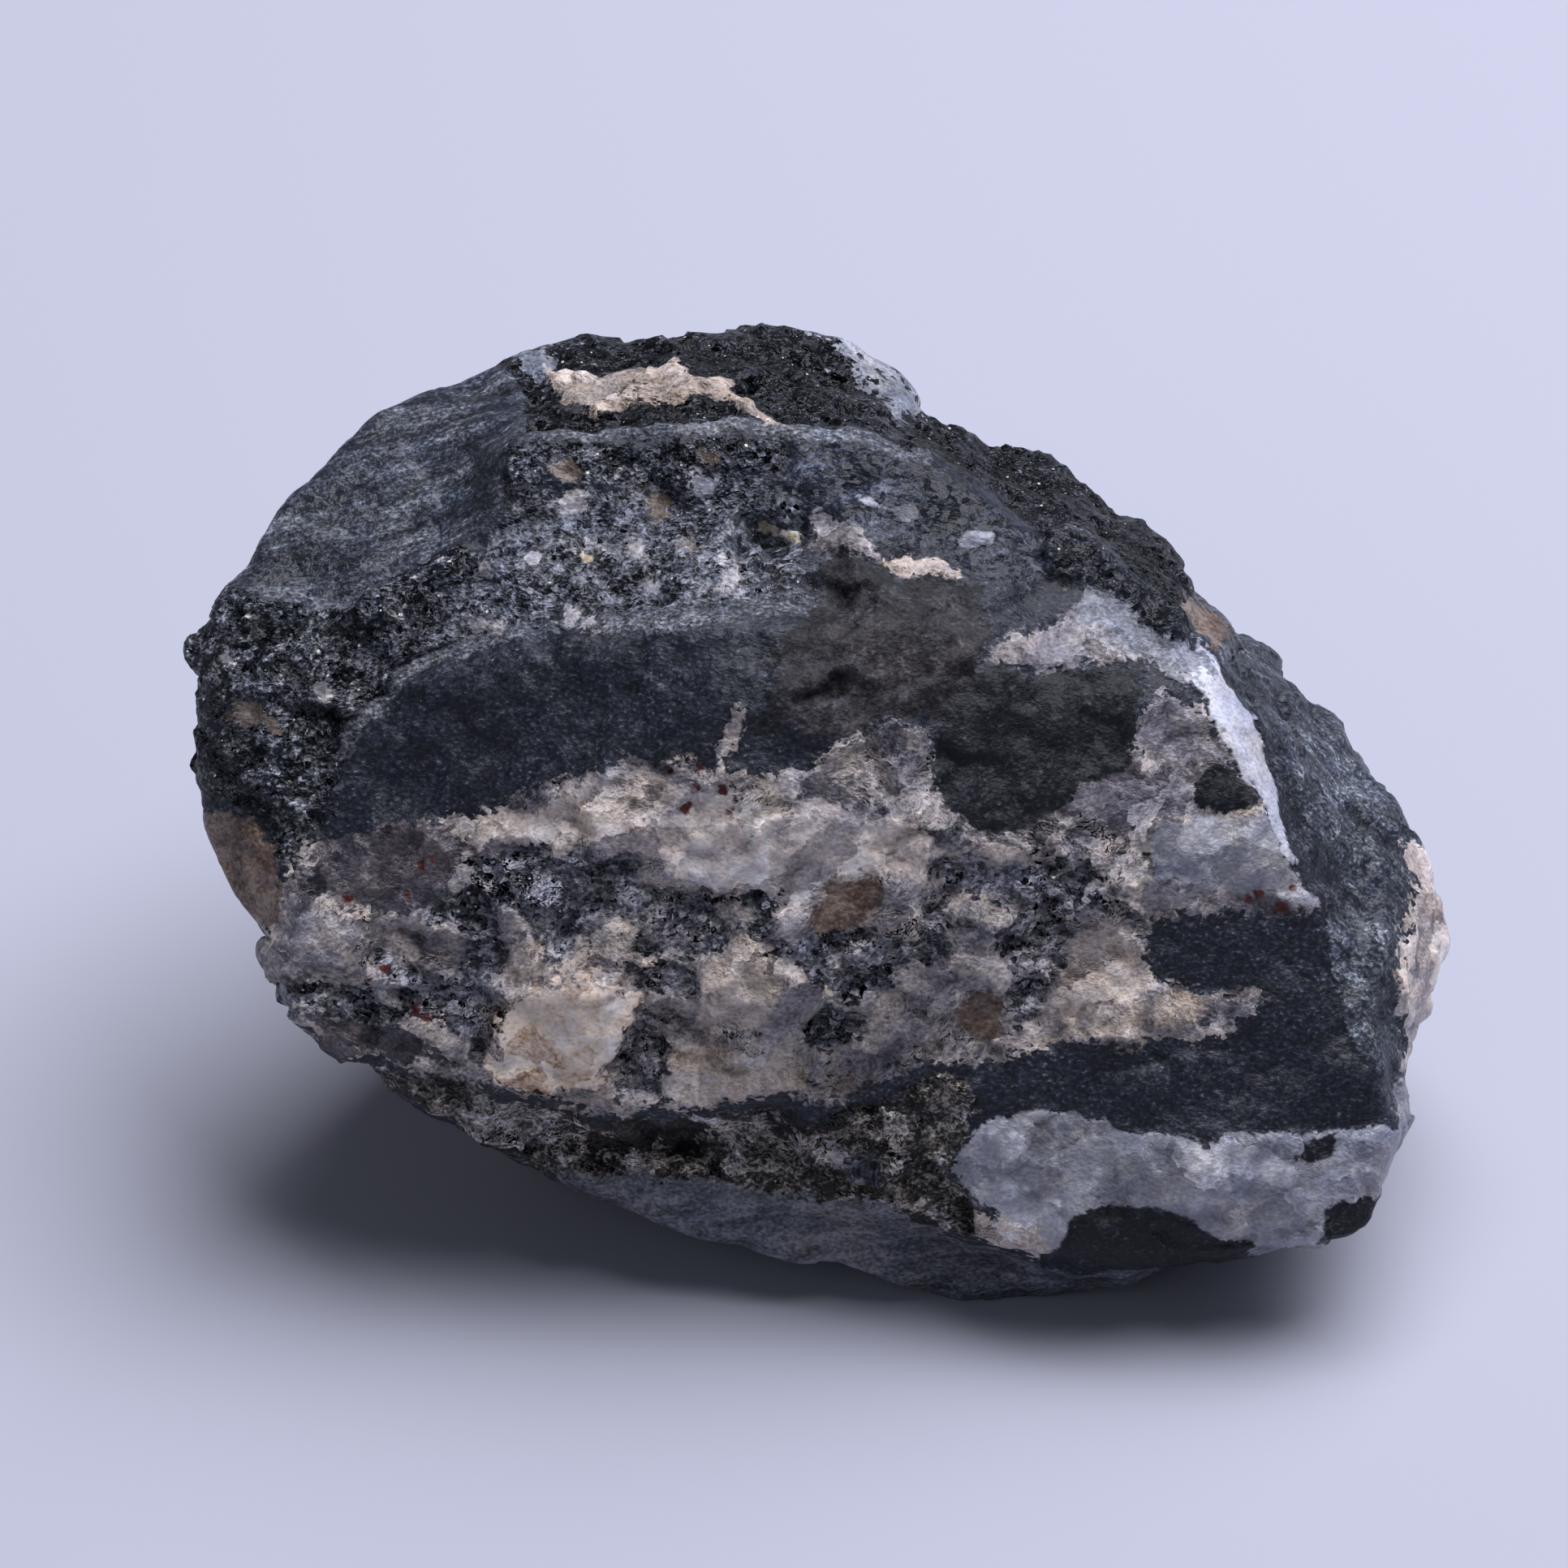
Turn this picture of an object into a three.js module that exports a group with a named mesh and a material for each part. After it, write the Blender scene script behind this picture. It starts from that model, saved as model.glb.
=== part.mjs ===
// Wolframite specimen: one broken piece of dark schist crossed by quartz and feldspar veins.
// Millimetres, +Z up. The stone rests on a small flat spot, with the origin at the
// bottom centre of its box.
//
// The corners below are given on the show face, the big broken front that leans back:
// [across, up, out], with `across` to the right, `up` along the leaning face and `out`
// square to it, towards whoever looks down on the stone. The face's middle is 0, 0, 0.
import * as THREE from "three";

// Driving dimensions
const LEAN = 40; // degrees that the show face leans back from upright
const FACE_HEIGHT = 26.5; // middle of the show face above the ground
const LONGEST_EDGE = { show: 2.3, far: 2.9 }; // of the facets on the show side and behind
const RIDGE_STEP = 1.6; // sharp edges have a corner at least this often
const ROUNDING = 0.4; // how far a corner moves towards the middle of its neighbours
const RIDGE_ROUNDING = 0.12; // the same, for a corner of the rim or of a sharp edge
const LUMPS = { size: 7, depth: 0.6 }; // broad hollows and swellings of the broken rock
const CHIPS = { size: 3.2, depth: 0.7 }; // small chips and steps on top of them
const FAR_LUMPS = 2; // the far side is this many times lumpier
const RAGGED_RIM = 1.6; // how far the rim strays in and out, square to the show face
const BEDS = { thickness: 6, depth: 1.3 }; // the schist's layers, which break in steps behind
const BED_NORMAL = new THREE.Vector3(0.2, 0.5, 0.84).normalize(); // square to the layers
const STONE_COLOUR = 0x4a4c54;

// The stone's rim as it shows when looked at square to the show face,
// clockwise from the left tip.
const RIM = [
  // left tip, up over the smooth slate shoulder
  [-35.8, 9, -1.4], [-34, 10.8, -1], [-33.6, 12, -1.2], [-32, 13.8, -2.2], [-31.3, 15.8, -3.2],
  [-30.4, 17.6, -4.4], [-27.8, 20.2, -6.2], [-25.5, 22.4, -7.8], [-22, 24, -9], [-19, 25.2, -10],
  [-17, 26.1, -10.8],
  // top, along the back
  [-14.6, 26.6, -11.4], [-12, 27, -12], [-9, 26.5, -12.2], [-6.3, 26.9, -12.6], [-4, 27.6, -13],
  [-1, 27.3, -13], [1.4, 26.7, -13], [4.2, 24.4, -12.6], [6, 22.7, -12.3], [8, 21.7, -12],
  [9.6, 20.1, -12],
  // right shoulder, lump by lump
  [12, 20.7, -12.4], [14.6, 19.2, -12], [15.9, 18.1, -11.5], [16.5, 16.7, -11], [18, 16, -10.6],
  [19.4, 14.8, -10.4], [20.5, 12.1, -11], [22.5, 10.8, -11.2], [24, 9.3, -11], [26.2, 7.9, -10.8],
  [27.7, 6.2, -10.6], [29.3, 5, -10.3], [30.3, 3.2, -10], [31, 1.9, -9.6], [32.6, 0.3, -9],
  [33.8, -2.2, -8.6],
  // pale plate at the right end, down to the white corner
  [34.7, -4.2, -8.3], [35.6, -7.4, -8], [33.9, -11, -6.8], [33.2, -13.2, -6], [32.5, -15, -4.6],
  [32.8, -17.3, -3], [32.3, -19.5, -2.6], [31.2, -21.7, -2.2], [31, -23.2, -2.2],
  // underside of the right end
  [29.4, -23.9, -2.2], [27, -24.2, -2.2], [25, -24.4, -2.3], [22.3, -24.7, -2.5],
  [20.2, -25.1, -3],
  // foot
  [19.1, -26, -5.8], [17.5, -26.7, -6.8], [14.5, -27.4, -7.6], [12, -27.9, -8], [9, -27.9, -8],
  [6.5, -27.3, -7.6], [4, -26.5, -7.1], [1.5, -25.5, -6.6],
  // overhanging underside, up to the lip's left end
  [-1.5, -25.4, -6.4], [-4.5, -24.6, -6.1], [-8, -23.7, -5.9], [-11.5, -22.4, -5.5],
  [-14.5, -21, -5], [-18, -19.2, -4.4], [-20.5, -17.9, -3.9], [-23.5, -16, -3],
  // left end, with its brown quartz lens
  [-25.3, -13.9, -1.3], [-27.3, -13.1, -1.1], [-29.2, -11.2, -1.2], [-30.2, -9.2, -1.4],
  [-30.5, -7, -1.8], [-31.5, -6, -2.6], [-33, -4.6, -3.2], [-33.6, -2.6, -3.2], [-34.5, -1, -2.8],
  [-34.6, 1.5, -2], [-35.2, 4, -1.6], [-34.8, 5.8, -1.5], [-34.8, 7.3, -1.4],
];

// Sharp edges, each a line of corners that keep their crispness.
const RIDGES = {
  // edge between the left flank and the slate shoulder, then the step up to the crest
  shoulderEdge: [
    [-32.4, 12.5, -0.8], [-30.4, 11.7, -0.3], [-28.5, 11, 0], [-26.8, 10.8, 0.2], [-24.3, 12.9, 0],
    [-22, 14.2, -0.2], [-20.3, 14.4, 0.3], [-18.2, 16.3, 0.4], [-17.4, 18.2, 0.4],
    [-17.1, 19.5, 0.2], [-16, 20.5, -0.2],
  ],
  crest: [
    [-14, 21, -0.5], [-12, 21.4, -0.6], [-9, 21.7, -0.7], [-5, 21.9, -0.7], [-1.5, 22, -0.8],
    [1.5, 21.2, -0.6], [4, 20.2, -0.4], [6.2, 19.2, -0.3], [8, 18, -0.2], [9.8, 17, 0],
    [11.2, 15.4, 0.1], [12, 14.3, 0.2],
  ],
  // down the right side, between the show face and the dark right flank
  rightRidge: [
    [13.9, 12.8, 0.6], [16.6, 11.7, 0.8], [17.7, 10.5, 1], [19.5, 9, 1.4], [20.4, 7.6, 2.1],
    [21.4, 5.8, 2.6], [22.8, 3.6, 2.8], [23.9, 0.6, 2.4], [25.1, -1.3, 1.7], [26.3, -2.7, 1.2],
    [27.1, -4.4, 0.8], [27.6, -6.3, 0.5], [28.1, -8.5, 0.2], [28.4, -10.3, 0.1],
  ],
  // far side of the thin white sheet beside that ridge
  sheetEdge: [
    [20.9, 9.2, -0.1], [22.1, 7.9, 0], [23.4, 6.2, 0.1], [24.5, 3.9, 0.2], [25.2, 1.2, 0.1],
  ],
  slabEdge: [
    [31.5, -7, -0.8], [31, -9.5, -0.3], [30.6, -12, 0], [31, -14.5, 0], [31.8, -17.5, -0.3],
  ],
  plateEdge: [
    [12.4, 15.4, -0.3], [14.3, 15.6, -0.6], [16, 14, -0.4], [18, 12.8, -0.5], [19.6, 11.3, -0.4],
  ],
  // front brink of the dark swelling, and the narrow flat top behind it
  ledge: [
    [-26.3, 3.4, 1.2], [-25.5, 5.2, 1.5], [-23, 6.8, 2.1], [-20, 7.8, 2.8], [-17, 8.3, 3.6],
    [-14, 9.2, 4.3], [-11, 9.8, 5], [-7, 9.9, 5.7], [-3, 10.1, 6], [1, 10.3, 6],
    [5, 10.4, 5.6], [8.5, 10, 4.7], [11.2, 9.4, 3.9],
  ],
  ledgeBack: [
    [-24, 7.7, 0.5], [-21, 8.8, 0.6], [-18, 9.7, 1], [-15, 10.5, 1.6], [-12, 11.1, 2.3],
    [-8, 11.3, 3.1], [-4, 11.4, 3.8], [0, 11.5, 4.2],
  ],
  // bottom brink of the show face, over the hollow underside
  lip: [
    [-23, -14.2, 0], [-21, -14.8, 0.1], [-18, -15.7, 0.1], [-15, -16.4, 0.1], [-12, -17.2, 0.1],
    [-9.5, -16.6, 0.2], [-6, -16, 0.3], [-3.5, -16.2, 0.4], [-1, -17, 0.4], [2, -17.1, 0.4],
    [5, -17.3, 0.4],
  ],
  // bottom edge of the dark lens under the white block, over the foot
  lensEdge: [
    [2.5, -22.7, -3.2], [5.5, -22.7, -2.7], [8, -22.9, -2.3], [10.5, -23.5, -2],
    [12.4, -24.1, -1.9], [15, -24.7, -1.9], [18.5, -24.6, -2.1],
  ],
};

// Corners of the broad faces between those edges.
const FRONT = {
  slateShoulder: [
    [-29.8, 14.6, -2.4], [-27.2, 17.2, -4], [-25.2, 14.6, -1.8], [-23, 17.8, -3.6],
    [-24.2, 20.4, -5.8], [-20, 21.6, -5.8], [-17.6, 23.6, -7.4],
    [-21, 15.7, -1.8], [-19, 18, -2.7], [-18.4, 20, -3.6], [-16.8, 21.8, -4],
  ],
  leftFlank: [
    [-33.7, 9.4, -0.5], [-31, 9, 0.2], [-28, 8, 0.6], [-25.2, 9.4, 0.4], [-33, 6, -0.2],
    [-30, 5, 0.5], [-27.6, 4.6, 0.9], [-33, 2, -0.4], [-30.3, 1.6, 0.4], [-28.2, 0.4, 0.9],
    [-32.4, -1, -0.9], [-32, -3.5, -1.6], [-30.1, -2.4, 0], [-30, -5.5, -0.2], [-28.8, -3.8, 0.8],
  ],
  granular: [
    [-22.6, 10.6, 0.2], [-20, 12, 0.1], [-17, 13.4, 0.3], [-13, 13.5, 0.9], [-9, 13.6, 1.5],
    [-6.6, 12.8, 2.6], [-14.6, 17, 0.1], [-11, 17, 0.3], [-7.6, 16.6, 0.8], [-13, 19.8, 0],
    [-8, 20, 0.1], [-3.5, 20.2, 0], [-5.4, 18.6, 0.4], [-1, 18.6, 0.5],
  ],
  pit: [
    [-4.6, 16.9, 0.5], [-2, 16.9, 0.7], [-6.1, 14.9, 1.2], [-5.1, 12.9, 2.4], [-2.9, 12.9, 2.9],
    [-0.9, 14.2, 2.6], [-4.4, 14.4, -0.7], [-3, 14.5, -0.9], [-2.2, 15.7, -0.4],
  ],
  streakedSlate: [
    [1.2, 15.6, 2.1], [3, 17, 0.8], [5, 18.2, 0.1], [2, 19.6, 0.1], [7, 16, 0.7],
    [8.8, 14.6, 1.1], [6, 13.6, 2.6], [3.2, 13.4, 3.3], [2.4, 12, 4.1], [6, 12, 3.7],
    [9.6, 12.3, 2.4], [12, 11.8, 1.9], [13.4, 9.9, 2.8], [16.2, 9.6, 2.5],
  ],
  upperSwelling: [
    [-22, 4.4, 2.4], [-17, 5.3, 3.9], [-12, 6, 5.1], [-7, 6, 6.1], [-2, 6.3, 6.8],
    [3, 6.5, 6.8], [7.5, 6.5, 5.8], [12, 6.4, 4.7], [16.4, 6.2, 3.7], [19.2, 6.4, 3],
    [-24.4, 0.4, 1.7], [-18.6, 1.4, 3.3], [-13.4, 2, 4.8], [-8, 2, 6.1], [-3, 2, 7],
    [2, 2.3, 6.9], [7, 2, 5.8], [11.6, 2.3, 4.7], [16, 2, 3.7], [20.4, 2.8, 3],
  ],
  middle: [
    [-25.6, -3.2, 1.3], [-20.5, -2.6, 2.5], [-15, -2.5, 3.9], [-10, -2, 5.3], [-5, -2, 6.2],
    [0, -2, 6.3], [5, -2, 5.6], [10, -2, 4.5], [14.6, -2.4, 3.6], [19, -2.4, 3.1],
    [23, -2.4, 2.3], [-27.6, -6.8, 0.8], [-22.6, -6.6, 1.7], [-17.6, -6.4, 2.6],
    [-12.5, -6.4, 3.5], [-7.6, -6.3, 4.3], [-2.5, -6.3, 4.9], [2.5, -6.2, 4.7],
    [7.5, -6, 4], [12.5, -6.3, 3.1], [17.5, -6.5, 2.4], [22.4, -6.3, 1.6],
  ],
  lowerFace: [
    [-27.7, -10.6, 0], [-23.6, -10.6, 0.7], [-19.2, -10.5, 1.3], [-14.4, -10.4, 2.7],
    [-9.5, -10.2, 2.6], [-4.6, -10.2, 3.6], [0.4, -10.2, 3.1], [5.5, -10, 2.7],
    [10.5, -10.2, 2.1], [15.5, -10.4, 1.6], [20.2, -10.6, 1.1], [24.5, -9, 0.9],
    [-22, -13, 0.4], [-17.2, -13.2, 1.7], [-12.9, -13.6, 1.7], [-8.2, -13.6, 1.1],
    [-3, -13.8, 1.5], [2, -13.7, 1.2], [7, -13.7, 1], [12, -13.7, 0.8], [16.4, -14, 0.6],
    [20.6, -15.2, 0.4], [25, -13, 0.5], [28.2, -14.4, 0.2],
  ],
  whiteBlock: [
    [8.6, -17.8, 0.2], [12.4, -16.9, 0.4], [16.2, -17.5, 0.2], [20.4, -18, 0.2], [26, -18, 0.1],
    [10, -20.2, -0.3], [14.2, -20.1, -0.1], [19, -20.2, 0], [23.8, -20.6, -0.2],
    [28.4, -20.4, -0.5], [30.9, -20, -1.1], [10, -22, -1.2], [14.4, -22.5, -1], [19, -22.4, -0.9],
    [23.4, -23.1, -1.1], [28, -22.8, -1.1], [30.1, -22.4, -1.4],
  ],
  underLip: [
    [-22.8, -15.5, -1.6], [-20, -16.9, -2], [-17.3, -17.5, -2.4], [-14.6, -18, -3.2],
    [-11.6, -18.8, -3.8], [-8.6, -18.2, -3.7], [-5.6, -18, -3.2], [-2.5, -18.6, -3.2],
    [0.4, -18.8, -1.4], [3, -19, -0.8], [6, -19.2, -0.5],
    [-17.8, -18.4, -3.4], [-13.4, -20.4, -3.5], [-9, -20.8, -3.7], [-5, -20.6, -3],
    [-1, -20.9, -2.5], [2.6, -20.9, -1.8], [6, -20.9, -1.3], [-6.6, -22.4, -4.7],
    [-2, -23, -4.5],
  ],
  foot: [
    [0.6, -24.4, -5.4], [3.2, -24.1, -5.2], [5.6, -23.6, -4.9], [8, -23.9, -4.9],
    [10.4, -24.5, -5], [12.4, -25.1, -5.1], [15, -25.7, -5.2], [18.3, -25.4, -5],
    [7.6, -25.9, -6.2], [11.6, -26.4, -6.5],
  ],
  rightFlank: [
    [22.6, 9.5, -4.5], [24.8, 6.8, -3], [26.6, 4, -2.6], [27.2, 1.2, -2.2], [26.6, -0.9, -0.8],
    [28.6, -1.4, -2], [28.9, -4.6, -1.6], [29.5, -7.6, -0.7], [28.4, 3.4, -6], [29.6, 0.6, -5],
    [31.6, -2, -5.6], [31.2, -4.6, -3.2], [32.3, -6.6, -3.6], [32.1, -10, -2.4],
    [32, -13.4, -2.2], [33.6, -6.6, -6], [32.3, -15.9, -2.2],
  ],
  behindPlates: [
    [21.3, 10.2, -5], [20, 12, -6.5], [18.4, 14, -7.4], [16.2, 15.4, -7], [13.6, 17, -6.5],
    [17.4, 15, -8.6],
  ],
  behindCrest: [
    [-14, 22.6, -3.4], [-10, 23.1, -3.8], [-6, 23.2, -4.2], [-2, 23, -4.4], [2, 22.1, -4.6],
    [5, 21, -4.8], [7.6, 19.6, -5], [10, 17.9, -5.2], [12, 16.6, -4.8], [-14, 25, -7.5],
    [-11, 24.4, -6.6], [-8, 25, -7.8], [-5, 25.8, -9.6], [-2, 25.3, -9], [3, 23.6, -8.6],
    [6.6, 21.4, -8.6], [10.8, 19.2, -9.2], [13.6, 18.4, -9.8],
  ],
};

// Corners of the far side, as [x, y, z] over the ground: x as `across`, y towards the back.
const BACK = {
  rearWall: [
    [-21, 22, 33], [-14, 27, 33.5], [-6, 30, 32.5], [2, 30.5, 31], [9, 27.5, 28.5],
    [-27, 17, 27], [-19, 25.5, 24.5], [-10, 30.5, 23], [-1, 32, 20.5], [8, 30, 19.5],
    [16, 25.5, 21.5], [23, 20.5, 20.5], [28.5, 15, 17.5], [-15, 27.5, 14], [-6, 31, 11.5],
    [4, 31, 9.5], [13, 28, 10.5], [20.5, 23, 11.5], [26.5, 17, 10], [31.4, 9.5, 13],
  ],
  leftEnd: [
    [-31.5, 12, 26], [-31, 8, 18.5], [-26.5, 15.5, 17.5], [-27, 4, 12.5], [-22, 11, 9.5],
    [-21.5, 19, 13], [-29.5, 2, 16.8],
  ],
  rightEnd: [
    [32.6, 3.5, 9.5], [31.4, -3, 6.2], [28, 8, 5], [29, 0, 4.2], [24.4, 14, 4.6],
    [27, -7, 5], [22.5, -9, 3.6], [24, 1, 2.2],
  ],
  underside: [
    [-20, -2, 8.6], [-15, 6, 4], [-14, -5, 5.6], [-15.5, 15, 4.8], [-12, 22.5, 5.4],
    [-3, 26.5, 3.6], [7, 26, 3], [16, 21.5, 3.6], [-9, 0, 2.6], [-8, -6.6, 3.2],
    [-2.5, -6.6, 1.8], [19.6, -5, 1.4],
  ],
  restingSpot: [
    [-9.5, 8, -0.2], [-8, 15, -0.2], [-2, 19.5, -0.3], [7, 19, -0.4], [15, 15, -0.3],
    [19.6, 7.5, -0.2], [17.6, -0.5, -0.2], [15.5, -6.2, -0.2], [9.5, -9.2, -0.3],
    [4.2, -6.8, -0.2], [-2.6, -0.6, -0.2], [-2, 10, -1], [5, 3, -1.2], [9, 11, -1.2],
    [11, -3, -1],
  ],
};

// Turns a corner of the far side into show-face terms, and back again.
const lean = THREE.MathUtils.degToRad(LEAN);
const up = new THREE.Vector3(0, Math.sin(lean), Math.cos(lean));
const out = new THREE.Vector3(0, -Math.cos(lean), Math.sin(lean));
const middle = new THREE.Vector3(0, 0, FACE_HEIGHT);

function toShowFace([x, y, z]) {
  const corner = new THREE.Vector3(x, y, z).sub(middle);
  return [x, corner.dot(up), corner.dot(out)];
}

function toGround([across, along, outward]) {
  const place = middle.clone();
  place.x += across;
  return place.addScaledVector(up, along).addScaledVector(out, outward);
}

// Does the circle through triangle a, b, c hold point p? All are [across, up, ...].
function circleHolds(a, b, c, p) {
  const rows = [a, b, c].map(([x, y]) => [x - p[0], y - p[1]]);
  const [[ax, ay], [bx, by], [cx, cy]] = rows;
  const [a2, b2, c2] = rows.map(([x, y]) => x * x + y * y);
  const sum = a2 * (bx * cy - cx * by) - b2 * (ax * cy - cx * ay) + c2 * (ax * by - bx * ay);
  return sum > 0;
}

// Joins corners into the plumpest triangles, counter-clockwise (Delaunay, by insertion).
function triangulate(corners) {
  const far = 1000;
  const points = [...corners, [-far, -far], [far, -far], [0, far]];
  const first = corners.length;
  let triangles = [[first, first + 1, first + 2]];
  corners.forEach((corner, index) => {
    const open = new Map();
    const kept = [];
    for (const triangle of triangles) {
      const [a, b, c] = triangle;
      if (!circleHolds(points[a], points[b], points[c], corner)) {
        kept.push(triangle);
        continue;
      }
      for (const [from, to] of [[a, b], [b, c], [c, a]]) {
        if (!open.delete(`${to},${from}`)) open.set(`${from},${to}`, [from, to]);
      }
    }
    for (const [from, to] of open.values()) kept.push([from, to, index]);
    triangles = kept;
  });
  return triangles.filter((triangle) => triangle.every((corner) => corner < first));
}

function insideRim([x, y]) {
  let inside = false;
  RIM.forEach(([x0, y0], i) => {
    const [x1, y1] = RIM[(i + 1) % RIM.length];
    if (y0 > y !== y1 > y && x < x0 + ((y - y0) / (y1 - y0)) * (x1 - x0)) inside = !inside;
  });
  return inside;
}

// One side of the stone: the rim's corners first, then its own, as triangles within the rim.
function side(own) {
  const corners = [...RIM, ...own];
  const triangles = triangulate(corners).filter((triangle) => {
    const [a, b, c] = triangle.map((i) => corners[i]);
    return insideRim([(a[0] + b[0] + c[0]) / 3, (a[1] + b[1] + c[1]) / 3]);
  });
  return { own, triangles };
}

// A sharp edge with more corners on it, so that it stays one unbroken line of facets.
function closeSteps(line) {
  return line.flatMap((corner, i) => {
    if (i === 0) return [corner];
    const from = new THREE.Vector3(...line[i - 1]);
    const to = new THREE.Vector3(...corner);
    const count = Math.ceil(from.distanceTo(to) / RIDGE_STEP);
    return Array.from({ length: count }, (_, k) => from.clone().lerp(to, (k + 1) / count).toArray());
  });
}

// Front and back sides, sewn together along the rim.
function roughStone() {
  const ridges = Object.values(RIDGES).flatMap(closeSteps);
  const front = side([...ridges, ...Object.values(FRONT).flat()]);
  const back = side(Object.values(BACK).flat().map(toShowFace));
  const shift = front.own.length;
  const moved = (corner) => (corner < RIM.length ? corner : corner + shift);
  const turned = back.triangles.map(([a, b, c]) => [moved(a), moved(c), moved(b)]);
  return {
    points: [...RIM, ...front.own, ...back.own].map(toGround),
    faces: [...front.triangles, ...turned],
    rim: new Set(RIM.keys()),
    sharp: new Set([...RIM, ...ridges].keys()),
    far: new Set(back.own.map((_, i) => RIM.length + shift + i)),
  };
}

const edgeName = (a, b) => (a < b ? `${a},${b}` : `${b},${a}`);

// Halves every edge that is too long, until none is left.
function split(stone) {
  const { points, rim, sharp, far } = stone;
  let { faces } = stone;
  for (let found = true; found; ) {
    found = false;
    const halves = new Map();
    const half = (a, b) => {
      const behind = far.has(a) || far.has(b);
      const longest = behind ? LONGEST_EDGE.far : LONGEST_EDGE.show;
      if (points[a].distanceTo(points[b]) <= longest) return undefined;
      const name = edgeName(a, b);
      if (!halves.has(name)) {
        halves.set(name, points.length);
        if (rim.has(a) && rim.has(b)) rim.add(points.length);
        if (sharp.has(a) && sharp.has(b)) sharp.add(points.length);
        if (behind) far.add(points.length);
        points.push(points[a].clone().lerp(points[b], 0.5));
      }
      return halves.get(name);
    };
    const next = [];
    for (const face of faces) {
      const middles = face.map((corner, i) => half(corner, face[(i + 1) % 3]));
      found ||= middles.some((place) => place !== undefined);
      next.push(...splitFace(face, middles, points));
    }
    faces = next;
  }
  return { points, faces, rim, sharp, far };
}

// The pieces of one triangle whose edges have new middles, where `middles` has them.
function splitFace(face, middles, points) {
  const count = middles.filter((place) => place !== undefined).length;
  if (count === 0) return [face];
  const lead = count === 1
    ? middles.findIndex((place) => place !== undefined)
    : middles.findIndex((place, i) => place !== undefined && middles[(i + 1) % 3] !== undefined);
  const [a, b, c] = [0, 1, 2].map((i) => face[(lead + i) % 3]);
  const [ab, bc, ca] = [0, 1, 2].map((i) => middles[(lead + i) % 3]);
  if (count === 1) return [[a, ab, c], [ab, b, c]];
  if (count === 3) return [[a, ab, ca], [ab, b, bc], [ca, bc, c], [ab, bc, ca]];
  const acrossA = points[a].distanceTo(points[bc]);
  const acrossC = points[ab].distanceTo(points[c]);
  return acrossA < acrossC
    ? [[ab, b, bc], [a, ab, bc], [a, bc, c]]
    : [[ab, b, bc], [a, ab, c], [ab, bc, c]];
}

function neighbours({ points, faces }) {
  const near = points.map(() => new Set());
  for (const [a, b, c] of faces) {
    near[a].add(b).add(c);
    near[b].add(a).add(c);
    near[c].add(a).add(b);
  }
  return near;
}

// Moves each corner towards the middle of its neighbours, sharp ones only a little.
function smooth(stone) {
  const near = neighbours(stone);
  stone.points = stone.points.map((point, i) => {
    const mean = new THREE.Vector3();
    near[i].forEach((j) => mean.add(stone.points[j]));
    mean.divideScalar(near[i].size);
    return point.clone().lerp(mean, stone.sharp.has(i) ? RIDGE_ROUNDING : ROUNDING);
  });
}

// A repeatable random number from -1 to 1 for a cell of space.
function cellValue(x, y, z) {
  const mixed = Math.sin(x * 127.1 + y * 311.7 + z * 74.7) * 43758.5453;
  return (mixed - Math.floor(mixed)) * 2 - 1;
}

// Smooth noise from -1 to 1 that changes over about one unit.
function noise(place) {
  const cell = place.clone().floor();
  const part = place.clone().sub(cell);
  const ease = (t) => t * t * (3 - 2 * t);
  const [fx, fy, fz] = [ease(part.x), ease(part.y), ease(part.z)];
  let sum = 0;
  for (const [dx, dy, dz] of CUBE_CORNERS) {
    const weight = (dx ? fx : 1 - fx) * (dy ? fy : 1 - fy) * (dz ? fz : 1 - fz);
    sum += weight * cellValue(cell.x + dx, cell.y + dy, cell.z + dz);
  }
  return sum;
}

const CUBE_CORNERS = [0, 1].flatMap((x) => [0, 1].flatMap((y) => [0, 1].map((z) => [x, y, z])));

function normals({ points, faces }) {
  const sums = points.map(() => new THREE.Vector3());
  for (const [a, b, c] of faces) {
    const ab = points[b].clone().sub(points[a]);
    const ac = points[c].clone().sub(points[a]);
    const normal = ab.cross(ac);
    [a, b, c].forEach((corner) => sums[corner].add(normal));
  }
  return sums.map((sum) => sum.normalize());
}

// Roughens the broken faces: broad lumps, sharper chips over them and, behind, the layers' steps.
function roughen(stone) {
  const facing = normals(stone);
  stone.points.forEach((point, i) => {
    const lump = noise(point.clone().divideScalar(LUMPS.size));
    const chip = 0.5 - Math.abs(noise(point.clone().divideScalar(CHIPS.size)));
    if (stone.rim.has(i)) {
      point.addScaledVector(out, (lump + chip) * RAGGED_RIM);
      return;
    }
    const hold = stone.sharp.has(i) ? 0.5 : 1;
    let rise = lump * LUMPS.depth + chip * CHIPS.depth;
    if (stone.far.has(i)) {
      const bed = point.dot(BED_NORMAL) / BEDS.thickness + lump;
      rise += lump * LUMPS.depth * (FAR_LUMPS - 1) + (bed - Math.floor(bed) - 0.5) * BEDS.depth;
    }
    point.addScaledVector(facing[i], hold * rise);
  });
}

// Flattens whatever dips below the ground to the resting spot, and centres the stone.
function seat(stone) {
  for (const point of stone.points) point.z = Math.max(point.z, 0);
  const box = new THREE.Box3().setFromPoints(stone.points);
  const centre = box.getCenter(new THREE.Vector3());
  for (const point of stone.points) point.sub(new THREE.Vector3(centre.x, centre.y, box.min.z));
}

function stoneGeometry() {
  const stone = split(roughStone());
  smooth(stone);
  roughen(stone);
  seat(stone);
  const geometry = new THREE.BufferGeometry().setFromPoints(stone.points);
  geometry.setIndex(stone.faces.flat());
  geometry.computeVertexNormals();
  return geometry;
}

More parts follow.
